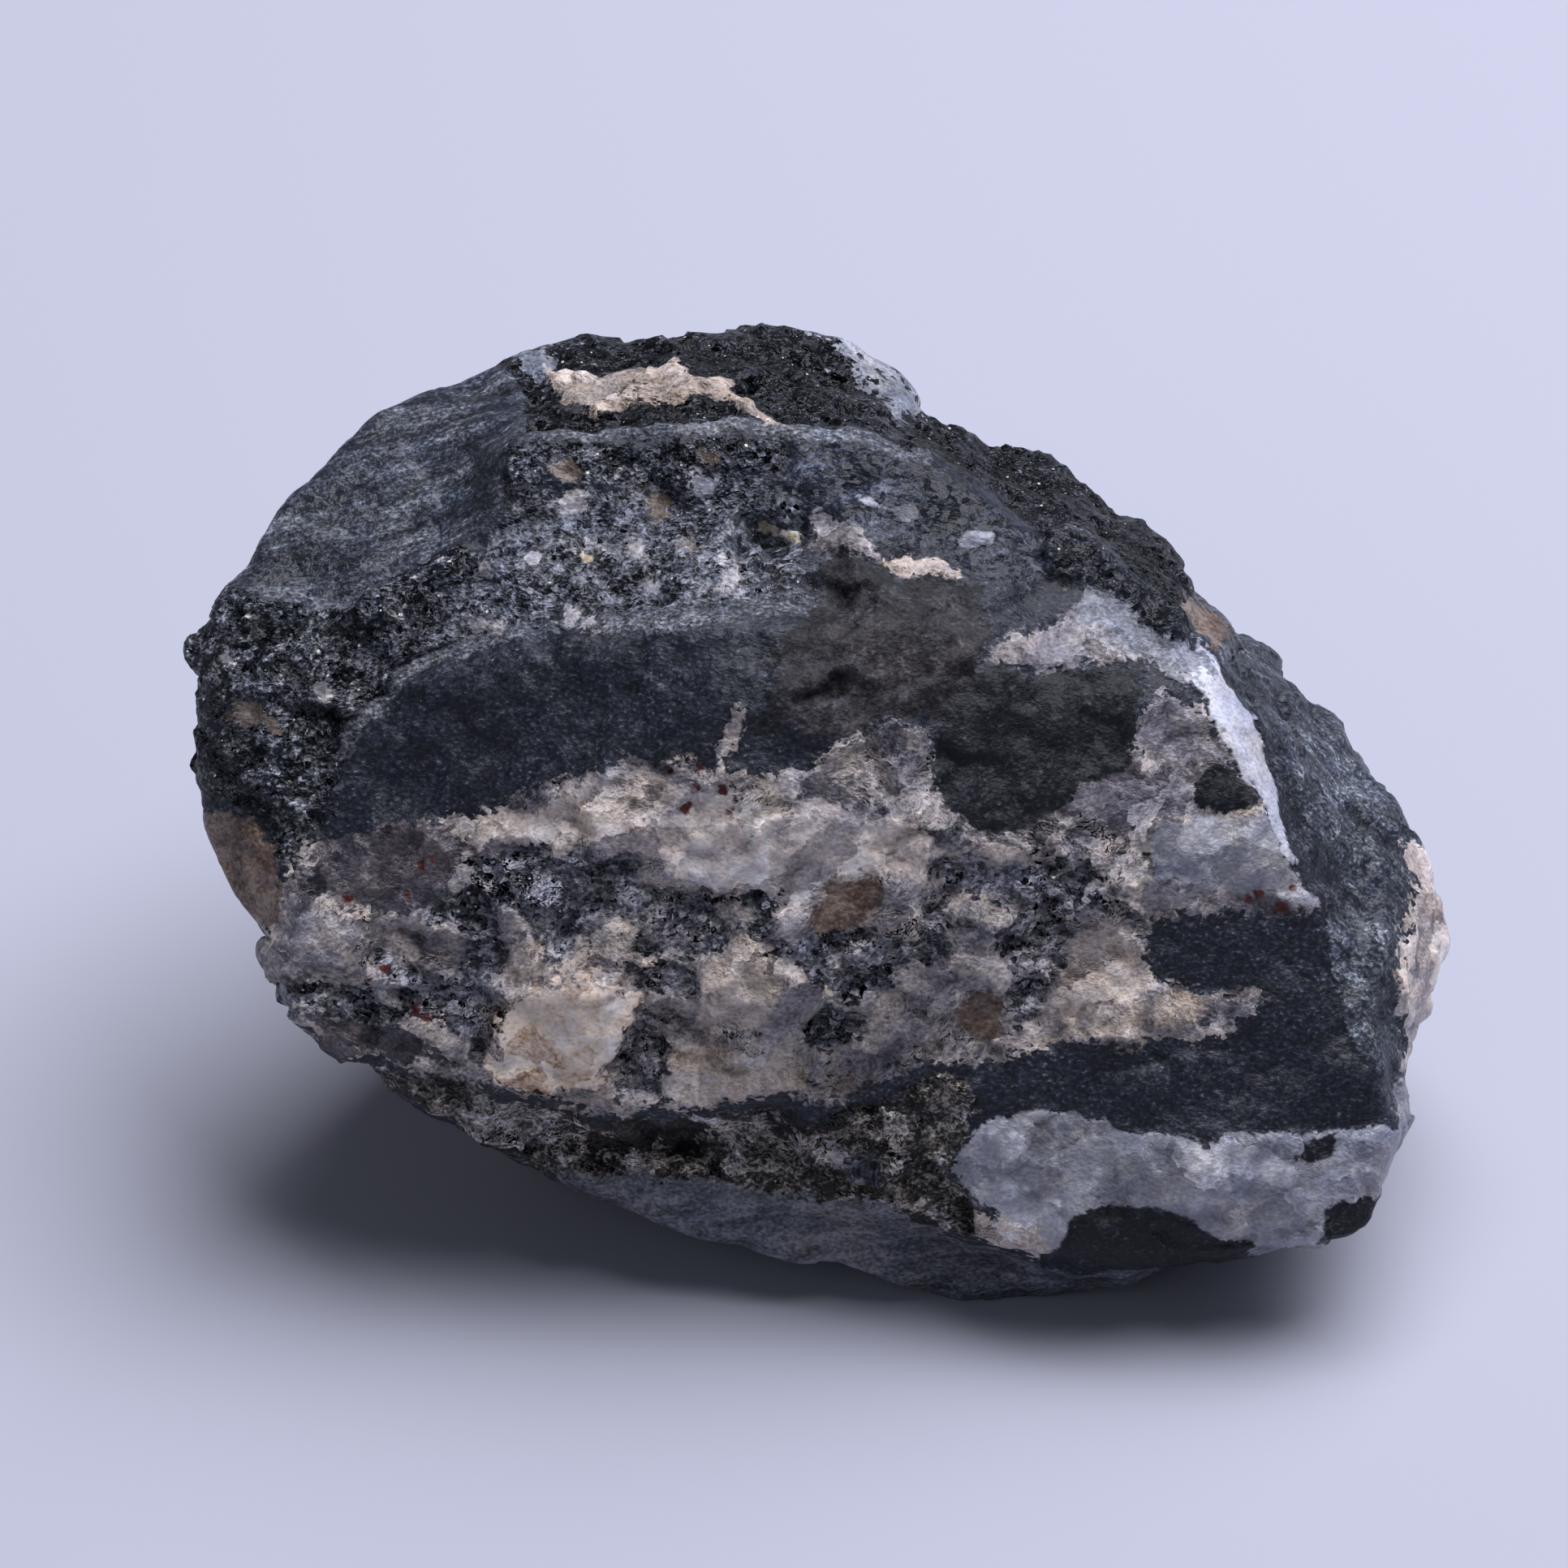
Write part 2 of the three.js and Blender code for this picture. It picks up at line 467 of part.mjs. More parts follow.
const rock = new THREE.MeshStandardMaterial({ color: STONE_COLOUR, roughness: 0.75, metalness: 0 });
const stone = new THREE.Mesh(stoneGeometry(), rock);
stone.name = "stone";

const specimen = new THREE.Group();
specimen.add(stone);
export default specimen;
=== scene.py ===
import math

import bmesh
import bpy
import numpy as np
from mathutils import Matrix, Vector


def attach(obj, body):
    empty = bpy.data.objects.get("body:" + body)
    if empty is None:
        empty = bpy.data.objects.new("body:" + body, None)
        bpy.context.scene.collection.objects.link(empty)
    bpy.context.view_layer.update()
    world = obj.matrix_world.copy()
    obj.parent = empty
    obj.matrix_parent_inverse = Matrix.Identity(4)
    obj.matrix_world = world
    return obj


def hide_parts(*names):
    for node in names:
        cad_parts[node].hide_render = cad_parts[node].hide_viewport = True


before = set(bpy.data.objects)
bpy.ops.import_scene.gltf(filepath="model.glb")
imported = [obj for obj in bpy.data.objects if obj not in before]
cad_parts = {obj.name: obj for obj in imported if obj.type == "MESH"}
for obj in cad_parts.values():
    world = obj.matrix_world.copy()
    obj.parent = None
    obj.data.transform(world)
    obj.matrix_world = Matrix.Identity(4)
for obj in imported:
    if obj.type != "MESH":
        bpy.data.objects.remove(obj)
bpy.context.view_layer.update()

# ---------------------------------------------------------------------------
# Camera. It looks down on the show face, square to it, from far enough away for
# a nearly parallel view.
# ---------------------------------------------------------------------------
MM = 0.001
LEAN = math.radians(40)  # the show face leans back this far from upright
FACE_MIDDLE = Vector((0.015, -8.847, 26.5))  # in millimetres, in the stone's frame
ACROSS = Vector((1, 0, 0))
UP = Vector((0, math.sin(LEAN), math.cos(LEAN)))  # up along the leaning face
OUT = Vector((0, -math.cos(LEAN), math.sin(LEAN)))  # square to it, towards the camera
AIM = (-2.05, 1.55)  # millimetres across and up the show face
CAMERA_DISTANCE = 600
FIELD_WIDTH = 87.8  # millimetres of the show face's plane from edge to edge of the view
SENSOR_WIDTH = 36  # millimetres

aim = FACE_MIDDLE + AIM[0] * ACROSS + AIM[1] * UP
lens = bpy.data.cameras.new("camera")
lens.sensor_width = SENSOR_WIDTH
lens.lens = SENSOR_WIDTH * CAMERA_DISTANCE / FIELD_WIDTH
camera = bpy.data.objects.new("camera", lens)
camera.location = (aim + CAMERA_DISTANCE * OUT) * MM
camera.rotation_euler = OUT.to_track_quat("Z", "Y").to_euler()
bpy.context.collection.objects.link(camera)
bpy.context.scene.camera = camera
bpy.context.scene.view_settings.view_transform = "Standard"

# ---------------------------------------------------------------------------
# Table top and light: smooth pale lavender paper, a wide soft lamp overhead and a
# little behind, and cool light from all round.
# ---------------------------------------------------------------------------
PAPER = "B0B2BF"
PAPER_ROUGHNESS = 0.75
SKY = "DCE2F2"
SKY_STRENGTH = 0.1
# The lights' places and sizes are in metres.
LAMP = {"place": (0.17, 0.16, 0.62), "size": 0.6, "watts": 8.0, "colour": "F4F5FF"}
FILL = {"place": (-0.3, -0.5, 0.4), "size": 0.5, "watts": 0.3, "colour": "E8EEFF"}
TABLE_SIZE = 6.0  # metres, so that its edge is out of sight


def colour(text):
    """A linear colour, with full alpha, from an sRGB hex value."""
    parts = [int(text[i : i + 2], 16) / 255 for i in (0, 2, 4)]
    linear = [p / 12.92 if p <= 0.04045 else ((p + 0.055) / 1.055) ** 2.4 for p in parts]
    return (*linear, 1)


def add(tree, kind, inputs=(), **settings):
    """Adds a node, with its settings, its values and its links."""
    node = tree.nodes.new(kind)
    for name, value in settings.items():
        setattr(node, name, value)
    for name, value in dict(inputs).items():
        if isinstance(value, bpy.types.NodeSocket):
            tree.links.new(value, node.inputs[name])
        else:
            node.inputs[name].default_value = value
    return node


# Smooth, uncoated paper: one even, matt tone that takes a soft shadow.
paper = bpy.data.materials.new("smooth_paper")
paper.use_nodes = True
paper_shader = paper.node_tree.nodes["Principled BSDF"]
paper_shader.inputs["Base Color"].default_value = colour(PAPER)
paper_shader.inputs["Roughness"].default_value = PAPER_ROUGHNESS

bpy.ops.mesh.primitive_plane_add(size=TABLE_SIZE)
table_top = bpy.context.object
table_top.name = "table_top"
table_top.data.materials.append(paper)

for name, facts in (("soft_lamp", LAMP), ("weak_fill", FILL)):
    light = bpy.data.lights.new(name, "AREA")
    light.size = facts["size"]
    light.energy = facts["watts"]
    light.color = colour(facts["colour"])[:3]
    lamp = bpy.data.objects.new(name, light)
    lamp.location = facts["place"]
    lamp.rotation_euler = Vector(facts["place"]).to_track_quat("Z", "Y").to_euler()
    bpy.context.collection.objects.link(lamp)

world = bpy.data.worlds.new("soft_room")
world.use_nodes = True
world.node_tree.nodes["Background"].inputs["Color"].default_value = colour(SKY)
world.node_tree.nodes["Background"].inputs["Strength"].default_value = SKY_STRENGTH
bpy.context.scene.world = world

# ---------------------------------------------------------------------------
# Stone, its fine shape: one piece of schist, broken off by hand and worn a little. It
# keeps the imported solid's facets, cut finer. `noise` and `grains` are the two ways that
# rock breaks: in smooth swellings, and along the flat faces of its grains.
# ---------------------------------------------------------------------------
LONGEST_EDGE = ((-14, -5), (0.78, 0.41))  # out of the show face, and the longest edge there
CUTS = 5
WEAR_CUTS = 2  # the first cuts are rounded, the later ones only follow
WORN = 0.5  # how far a point moves to the mean of its neighbours, where the stone is worn
SAME_PLACE = 1e-6  # metres between corners of the solid that are one corner
MIXING = np.array([127.1, 311.7, 74.7])  # uneven numbers, so that no pattern shows
SALTING = 19.19
SCATTERING = 43758.5453
CHANCES_APART = 5  # keeps a grain's random numbers apart from its random place
FAR_OFF = 1e9  # a distance larger than any that is measured
CELL_CORNERS = np.array([[x, y, z] for x in (0, 1) for y in (0, 1) for z in (0, 1)])
NEAR_CELLS = np.array([[x, y, z] for x in (-1, 0, 1) for y in (-1, 0, 1) for z in (-1, 0, 1)])


def scatter(cell, salt):
    """A repeatable random number from 0 to 1 for each whole-numbered cell of space."""
    mixed = np.sin(cell @ MIXING + salt * SALTING) * SCATTERING
    return mixed - np.floor(mixed)


def noise(place, size, salt=0):
    """Smooth noise from -1 to 1 that changes over about that size, in millimetres."""
    scaled = place / size
    cell = np.floor(scaled)
    part = scaled - cell
    ease = part * part * (3 - 2 * part)
    total = np.zeros(len(place))
    for corner in CELL_CORNERS:
        weight = np.prod(np.where(corner, ease, 1 - ease), axis=1)
        total += weight * (scatter(cell + corner, salt) * 2 - 1)
    return total


def grains(place, size, salt=0):
    """Each point's offset from the middle of its grain, and three random numbers of the grain."""
    scaled = place / size
    cell = np.floor(scaled)
    best = np.full(len(place), FAR_OFF)
    middle = np.zeros_like(place)
    chance = np.zeros_like(place)
    for step in NEAR_CELLS:
        there = cell + step
        jitter = np.stack([scatter(there, salt + k) for k in range(3)], axis=1)
        away = np.sum((there + jitter - scaled) ** 2, axis=1)
        nearer = away < best
        best[nearer] = away[nearer]
        middle[nearer] = (there + jitter)[nearer]
        chances = [scatter(there, salt + CHANCES_APART + k) for k in range(3)]
        chance[nearer] = np.stack(chances, axis=1)[nearer]
    return place - middle * size, chance


def refine(points, faces, longest):
    """Halves each edge that is longer than the two lengths allowed at its ends, on average."""
    edges = np.sort(faces[:, [0, 1, 1, 2, 2, 0]].reshape(-1, 2), axis=1)
    edges, which = np.unique(edges, axis=0, return_inverse=True)
    length = np.linalg.norm(points[edges[:, 0]] - points[edges[:, 1]], axis=1)
    cut = length > longest[edges].mean(axis=1)
    middle = np.where(cut, len(points) + np.cumsum(cut) - 1, -1)[which.reshape(-1, 3)]
    count = (middle >= 0).sum(axis=1)
    first = np.where(count == 2, np.argmax(middle < 0, axis=1) + 1, np.argmax(middle >= 0, axis=1))
    order = (first[:, None] + np.arange(3)) % 3
    a, b, c = np.take_along_axis(faces, order, axis=1).T
    ab, bc, ca = np.take_along_axis(middle, order, axis=1).T
    parts = [
        (count == 0, [(a, b, c)]),
        (count == 1, [(a, ab, c), (ab, b, c)]),
        (count == 2, [(a, ab, c), (ab, b, bc), (ab, bc, c)]),
        (count == 3, [(a, ab, ca), (ab, b, bc), (ca, bc, c), (ab, bc, ca)]),
    ]
    faces = [np.stack(part, axis=1)[chosen] for chosen, cases in parts for part in cases]
    return np.concatenate([points, points[edges[cut]].mean(axis=1)]), np.concatenate(faces)


def wear(points, faces, share):
    """Moves each point part of the way to the mean of its neighbours."""
    edges = np.unique(np.sort(faces[:, [0, 1, 1, 2, 2, 0]].reshape(-1, 2), axis=1), axis=0)
    total = np.zeros_like(points)
    count = np.zeros(len(points))
    for here, there in (edges.T, edges.T[::-1]):
        np.add.at(total, here, points[there])
        np.add.at(count, here, 1)
    return points + share * (total / count[:, None] - points)


def facing(points, faces):
    """The outward direction at each point."""
    a, b, c = points[faces].transpose(1, 0, 2)
    square = np.cross(b - a, c - a)
    total = np.zeros_like(points)
    for corner in faces.T:
        np.add.at(total, corner, square)
    return total / np.linalg.norm(total, axis=1, keepdims=True)


def on_show_face(points):
    """Millimetres across, up and out of the show face, for points of the stone."""
    offset = points - np.array(FACE_MIDDLE)
    return offset @ np.array(ACROSS), offset @ np.array(UP), offset @ np.array(OUT)


solid = bmesh.new()
solid.from_mesh(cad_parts["stone"].data)
bmesh.ops.remove_doubles(solid, verts=solid.verts, dist=SAME_PLACE)
bmesh.ops.triangulate(solid, faces=solid.faces)
points = np.array([v.co for v in solid.verts]) / MM
faces = np.array([[v.index for v in f.verts] for f in solid.faces])
solid.free()

for cut in range(CUTS):
    across, up, out = on_show_face(points)
    longest = np.interp(out, *LONGEST_EDGE)
    points, faces = refine(points, faces, longest)
    if cut < WEAR_CUTS:
        points = wear(points, faces, WORN)

# ---------------------------------------------------------------------------
# Stone, its minerals: dark schist, which quartz and feldspar grew into as veins. Each
# zone's outline lies on the show face, in millimetres across and up from its middle, and
# the zone runs back into the stone. A later mineral lies over an earlier one.
# ---------------------------------------------------------------------------
# tones: colours from the darkest grain to the palest, and where each stands in the texture
# texture: the pattern of the grains, from TEXTURES in the finish
# roughness: how dull each face is; glint: how many flakes get a painted glint, and how far they
# tilt
# facet: how far the cleaved faces tilt; bite: how deep the grains stand
# ragged: how far its border strays, in millimetres; rise: how far it stands proud
# grainy: how coarsely it breaks; lumps: single grains, as across, up and radius

# Fine schist, broken along its layers: near black, with thin paler streaks.
SCHIST = {
    "tones": [(0.25, "181A22"), (0.5, "252933"), (0.7, "393E4A"), (0.84, "636978"),
              (0.95, "A4A8B7")],
    "texture": "streaky",
    "roughness": 0.52, "glint": 0.15, "facet": 0, "bite": 0.55, "rise": 0, "grainy": 0.4,
}
MINERALS = {
    # Coarse schist full of mica: black and white grains that glitter.
    "dark_granular_rock": {
        "tones": [(0.3, "15181D"), (0.47, "2A2D35"), (0.62, "52555E"), (0.78, "999DA6"),
                  (0.92, "EBEEF4")],
        "texture": "granular",
        "roughness": 0.45, "glint": 0.9, "facet": 0.5, "bite": 2,
        "ragged": 1.6, "rise": 0.3, "grainy": 1.3,
        "zones": [
            [(-36.5, 9), (-33.4, 12.6), (-31.6, 12), (-28.5, 11.4), (-26.6, 11.2), (-24.6, 12.8),
             (-22.4, 13.4), (-19.6, 14.8), (-19, 13.4), (-20.4, 9.4), (-21.8, 8.6),
             (-23.6, 7.6), (-24.2, 6.6), (-25.6, 5.4), (-26.5, 4.2), (-26.7, 2), (-26.6, 0.3),
             (-28.4, -1.4), (-29, -3.4), (-30.2, -3), (-31, -0.6), (-33.2, 1.2), (-36, 1.8)],
            [(-17.6, 20.3), (-16.6, 20.4), (-12, 20.3), (-6, 20.6), (-2, 20.6), (-2, 19),
             (-4, 18.6), (-6, 18.4), (-8.4, 17.4), (-10.6, 18.2), (-13, 17.9), (-15.4, 18.5),
             (-17, 17)],
        ],
    },
    # The same with more quartz between the mica, so greyer.
    "pale_granular_rock": {
        "tones": [(0.25, "1F2126"), (0.4, "41444C"), (0.55, "6B6F79"), (0.7, "9599A4"),
                  (0.88, "CFD2DA")],
        "texture": "granular",
        "roughness": 0.5, "glint": 0.6, "facet": 0.5, "bite": 1.8,
        "ragged": 3, "rise": 0, "grainy": 1,
        "zones": [
            [(-22.6, 9.2), (-21, 12), (-19.6, 14), (-18.2, 15.8), (-17.2, 17.2), (-15.5, 18.3),
             (-13, 17.7), (-10.6, 18), (-8.4, 17.2), (-6, 18.4), (-3, 18.6), (-1, 17.6),
             (-0.8, 13), (1, 11.2), (-4, 10.9), (-7, 10.8), (-14, 10.3), (-17, 10), (-20, 9)],
            [(-26.2, 8.8), (-25, 9.2), (-23.8, 8.4), (-23.6, 7.4), (-25.2, 7)],
        ],
    },
    # Slate split along its layers: a flat grey sheen with drawn-out streaks.
    "shoulder_slate": {
        "tones": [(0.3, "22252C"), (0.5, "383C45"), (0.66, "5E6571"), (0.82, "9CA3AF")],
        "texture": "slaty",
        "roughness": 0.4, "glint": 0.25, "facet": 0, "bite": 0.8,
        "ragged": 0.5, "rise": 0, "grainy": 0.2,
        "zones": [
            [(-34.4, 12.4), (-33.4, 13), (-28.5, 11.4), (-26.6, 11.2), (-24.3, 13), (-20.3, 14.6),
             (-18, 16.6), (-17.5, 18.6), (-17.1, 20.8), (-16.2, 21.6), (-16.6, 23.6),
             (-18, 26), (-21, 30), (-30, 26), (-36, 16)],
        ],
    },
    # Slate rubbed smooth: darker and more even.
    "smooth_slate": {
        "tones": [(0.3, "15181F"), (0.5, "212630"), (0.68, "3A404F"), (0.85, "6F778A")],
        "texture": "slaty",
        "roughness": 0.42, "glint": 0.3, "facet": 0, "bite": 0.6,
        "ragged": 0.5, "rise": 0, "grainy": 0.2,
        "zones": [
            [(-0.5, 20.6), (3, 19.8), (6, 19), (9.5, 17), (12, 14.5), (13.4, 13), (9.5, 12.4),
             (8.3, 13), (6, 14.6), (2.5, 15), (-0.6, 17), (-2, 18.4)],
        ],
    },
    # Ledges and edge strips: pale and dull, partly dust and partly a painted sheen where they face
    # up to the lamp.
    "dusty_ledge": {
        "tones": [(0.28, "33363D"), (0.5, "595D67"), (0.7, "83878F"), (0.88, "BDC1C9")],
        "texture": "speckled",
        "roughness": 0.6, "glint": 0.4, "facet": 0, "bite": 1.2,
        "ragged": 0.6, "rise": 0.1, "grainy": 0.3,
        "zones": [
            [(-26.8, 3), (-26.5, 4.4), (-25.5, 5.5), (-24.2, 6.6), (-23.5, 7.5), (-21.8, 8.5),
             (-20, 9.2), (-17, 10.2), (-14, 10.5), (-7, 11), (0, 11.4), (0, 10.7), (-7, 10.2),
             (-14, 9.6), (-17, 9.1), (-20, 8.3), (-22.4, 7.5), (-23.6, 6.4), (-25, 4.9),
             (-26.2, 3.2)],
            [(-16.8, 20.4), (-16.2, 21), (-12, 21.6), (-6, 21.8), (-1, 22), (1.2, 21.4),
             (3.4, 20.6), (6, 19.7), (6, 19.2), (3, 20), (0, 20.8), (-6, 20.8), (-12, 20.5)],
            [(-32.4, 12.4), (-31, 12.6), (-28.4, 11.8), (-26.6, 11.6), (-25, 12.6), (-24.6, 12.2),
             (-26.4, 11), (-28.6, 11.2), (-31.4, 11.9)],
        ],
    },
    # Coarse dark rock on the crest: nearly black, with bright specks.
    "crest_rock": {
        "tones": [(0.3, "090B0F"), (0.5, "111319"), (0.66, "24272F"), (0.8, "5B5F6B"),
                  (0.93, "B6BAC4")],
        "texture": "granular",
        "roughness": 0.4, "glint": 0.7, "facet": 0.4, "bite": 1.6,
        "ragged": 0.5, "rise": -0.35, "grainy": 0.9,
        "zones": [
            [(-16.6, 21.2), (-15, 21), (-9, 21.4), (-4, 21.7), (0, 21.8), (3, 20.9),
             (6.2, 19.7), (9.5, 17.7), (13, 14.4), (16.2, 12.6), (18.4, 10.8), (20.4, 9.4),
             (21.5, 13), (16, 21), (5, 29), (-5, 31), (-17, 30), (-19, 27), (-17, 24)],
        ],
    },
    # Schist sheared as it broke: silvery streaks down the flank.
    "flank_schist": {
        "tones": [(0.28, "1F232A"), (0.48, "363B44"), (0.66, "616874"), (0.84, "B7BFCD")],
        "texture": "sheared",
        "roughness": 0.42, "glint": 0.25, "facet": 0.2, "bite": 0.6,
        "ragged": 0.8, "rise": 0, "grainy": 0.6,
        "zones": [
            [(20.4, 9.6), (22.5, 8.2), (24.2, 5.5), (25.2, 2), (25.8, -1.4), (27, -3.2),
             (28, -6), (29, -10), (30.2, -14), (31.8, -17.6), (33, -17), (32.2, -14),
             (32.2, -9), (32.6, -5.5), (33.4, -3), (36, 2), (30, 8), (24, 12.5), (21, 12)],
        ],
    },
    # Vein quartz mixed with feldspar: cleaved blocks from grey to cream.
    "grey_quartz": {
        "tones": [(0.2, "32343A"), (0.34, "68676E"), (0.5, "9E9899"), (0.66, "CDC3BC"),
                  (0.84, "F6ECE2")],
        "texture": "blocky",
        "roughness": 0.38, "glint": 0.3, "facet": 0.9, "bite": 1.0,
        "ragged": 2.2, "rise": 0.1, "grainy": 1,
        "zones": [
            [(-28.3, -1.6), (-26, -1.5), (-22, -0.3), (-18, 0.5), (-16, 1), (-12.5, 2.3),
             (-11, 3), (-9, 2.6), (-7.5, 3.2), (-4, 1.8), (-1, 2.2), (0, 3), (2, 4.5), (4, 5.3),
             (5.8, 4.5), (6.2, 2.4), (7, 0.6), (8.5, -1), (11, -1), (13, 0), (14.5, 1.8),
             (17.3, 2), (17.3, 6), (19, 7), (20.8, 6.2), (22.8, 3), (24.4, 0), (27.4, -5.5),
             (22, -5.7), (18.4, -6), (18.2, -8), (19, -9.4), (20.5, -9.9), (22.5, -10),
             (24.3, -10.6), (24.2, -11.5), (22, -12.6), (18, -12.7), (12, -13.2), (8, -14),
             (5.5, -14.2), (3, -15), (0, -15.8), (-3, -16), (-9, -16), (-12, -17), (-15, -16.3),
             (-19, -15.4), (-23, -14.1), (-26, -13.6), (-28.5, -12.5), (-30.6, -9.8),
             (-31.2, -7), (-30, -3.5)],
        ],
    },
    # Quartz and feldspar grown together: warm, pale and glassy.
    "cream_quartz": {
        "tones": [(0.16, "706A6D"), (0.36, "B8AEAD"), (0.56, "E8DCD4"), (0.8, "FFFFFF")],
        "texture": "blocky",
        "roughness": 0.34, "glint": 0.15, "facet": 0.6, "bite": 0.5,
        "ragged": 1.5, "rise": 0.15, "grainy": 0.7,
        "zones": [
            [(32.4, -2), (33.8, -2.2), (35, -4), (37, -7.4), (34.5, -11), (33.6, -13.4),
             (32.3, -14.5), (32.3, -9), (32.6, -5.5), (33.4, -3.8)],
            [(-20, -1.5), (-18, -0.5), (-15.8, -0.1), (-14, 1.3), (-11.5, 2.3), (-9.5, 2.5),
             (-7.5, 1.6), (-4.9, 1.2), (-2, 0.4), (1, 0.2), (4, 0), (6, -1.4), (5.6, -3.6),
             (4.2, -3.6), (0.6, -3.4), (-0.4, -4.4), (-0.6, -6.2), (-1.8, -6.4), (-2.6, -4.6),
             (-3.8, -4.1), (-6, -3.9), (-8.5, -3), (-10, -2.3), (-12, -2.2), (-14, -1.4),
             (-16, -2), (-18, -1.8)],
            [(-6.6, 1.2), (-5.9, 3), (-4.6, 5.8), (-4.2, 5.6), (-5, 3), (-5.4, 1.2)],
        ],
    },
    # Quartz worn to a matt skin: nearly white, and even.
    "frosted_quartz": {
        "tones": [(0.25, "A9ADBC"), (0.5, "CACDD9"), (0.75, "E6E8EF")],
        "texture": "cloudy",
        "roughness": 0.5, "glint": 0.1, "facet": 0.1, "bite": 0.4,
        "ragged": 0.6, "rise": 0.2, "grainy": 0.2,
        "zones": [
            [(20.2, 8.6), (20.9, 9.3), (22, 8), (23.3, 6.3), (24.2, 5), (24.8, 2.5), (25.2, 0),
             (25.8, -1.4), (26.6, -2.7), (25.6, -2.4), (24.6, -1), (24, 0.4), (23.2, 2.4),
             (21.6, 5.2), (20.5, 7.2)],
        ],
    },
    # Clouded quartz over dark rock: a grey tinged with mauve.
    "mauve_quartz": {
        "tones": [(0.2, "36353C"), (0.42, "69666E"), (0.62, "969296"), (0.85, "D4CCCC")],
        "texture": "blocky",
        "roughness": 0.38, "glint": 0.2, "facet": 0.5, "bite": 0.7,
        "ragged": 2, "rise": 0.1, "grainy": 0.8,
        "zones": [
            [(-29.8, -4), (-28, -5.2), (-26, -6), (-23.9, -6), (-24.1, -6.8), (-26, -7.8),
             (-27.4, -8.8), (-28.4, -9.2), (-29.8, -8.8)],
            [(-0.8, 14.4), (-0.6, 16.9), (0.3, 16.9), (2, 15.4), (3, 14.8), (3.4, 13.8),
             (1.6, 14), (0.4, 13.8)],
            [(9.4, 8), (9.6, 9.2), (10.8, 10), (12.6, 10.3), (14, 11.2), (14.6, 12.2),
             (16.3, 12), (17.5, 10.8), (18.4, 9.8), (19.4, 9), (20.8, 9.2), (21, 8),
             (20.8, 6.6), (19.5, 7.5), (18.2, 8.3), (15, 7.9), (12, 7.7)],
            [(17.4, 2), (17.5, 4), (18, 6), (19.5, 6.8), (20.8, 6), (21.5, 4.6), (22.5, 3),
             (21.4, 2.2), (20.8, 0.8), (20.3, 0), (18, 0.2)],
            [(18.2, -0.3), (22, -0.4), (24, -0.2), (25, -1.5), (26, -3), (27.2, -5.2),
             (26, -5.4), (24, -5.5), (22.3, -5.6), (21.6, -5), (19.8, -5.5), (18.2, -5.9),
             (17.5, -5.4), (18, -4), (18.7, -2)],
            [(12.8, -0.2), (14.2, 1.6), (17.2, 2), (20, 0.4), (18.5, -0.6), (15, -0.8)],
        ],
    },
    # Thin clear quartz that the dark rock shows through.
    "dusky_quartz": {
        "tones": [(0.2, "242328"), (0.45, "4A464C"), (0.65, "6E686C"), (0.88, "A69E9E")],
        "texture": "blocky",
        "roughness": 0.38, "glint": 0.2, "facet": 0.6, "bite": 0.8,
        "ragged": 2, "rise": 0, "grainy": 0.8,
        "zones": [
            [(-28.2, -1.4), (-26, -1.2), (-22, -0.2), (-20, -0.6), (-19.4, -2), (-20.4, -3.4),
             (-20.8, -5), (-22.5, -5.6), (-24, -5.9), (-27, -5.8), (-28.4, -4)],
            [(-28.4, -11.4), (-25, -11.4), (-22.2, -12.6), (-21.4, -13.6), (-25, -13.6),
             (-27.6, -13.2)],
        ],
    },
    # Milky quartz: blue-grey blocks, each with a soft sheen.
    "milky_quartz": {
        "tones": [(0.18, "7A7B84"), (0.4, "92949E"), (0.6, "A9ABB5"), (0.85, "D2D3DB")],
        "texture": "blocky",
        "roughness": 0.32, "glint": 0.15, "facet": 0.4, "bite": 0.6,
        "ragged": 0.8, "rise": 0.15, "grainy": 0.7,
        "zones": [
            [(18.9, -0.5), (24, -0.2), (25.4, -2), (26.2, -3), (25.7, -4.3), (23.8, -4.8),
             (21.6, -4.2), (19.8, -3.5), (18.4, -3.6), (18.2, -1.8)],
            [(24.6, -2.6), (26.2, -2.8), (27, -4), (27.3, -5.3), (26, -5.2), (25.2, -4)],
            [(7.4, -19.6), (8.4, -18), (9.5, -17.3), (12, -16.7), (15.9, -16.9), (16.4, -17.7),
             (21, -18.2), (26, -18), (31.9, -17.5), (32.2, -15.4), (33.6, -15.6), (34, -20),
             (32, -22), (28.4, -22.4), (28.4, -23), (27.8, -25), (24.5, -25), (22, -23.4),
             (20.5, -22.4), (18.5, -21.9), (16, -21.9), (14.2, -22.6), (13.5, -24),
             (12.2, -24.7), (10.4, -24), (10.2, -22.4), (8.4, -21)],
            [(3.9, 16.8), (4.8, 16.9), (5.4, 16.3), (4.6, 16.2)],
            [(7.4, 14.9), (8.2, 15.5), (9.4, 15.3), (9.2, 14.7), (8, 14.5)],
            [(1.8, 17.5), (3.2, 17.2), (3.6, 16.8), (2.4, 16.9)],
        ],
    },
    # Quartz mixed with schist dust: cloudy, and a little blue.
    "hazy_quartz": {
        "tones": [(0.2, "4F545D"), (0.45, "7C818C"), (0.65, "A4A7B3"), (0.88, "CED2DC")],
        "texture": "cloudy",
        "roughness": 0.45, "glint": 0.2, "facet": 0.2, "bite": 0.7,
        "ragged": 3, "rise": 0, "grainy": 0.6,
        "zones": [
            [(14.2, 10.2), (14.6, 12.3), (16.6, 12.1), (17.8, 10.9), (19, 9.4), (20.4, 9.3),
             (21.3, 8), (20.6, 7), (19, 7.9), (17.4, 8.6), (15.6, 9.4)],
            [(-17.4, 26.6), (-15.4, 26.2), (-15, 25), (-15.6, 24.4), (-17, 25.2)],
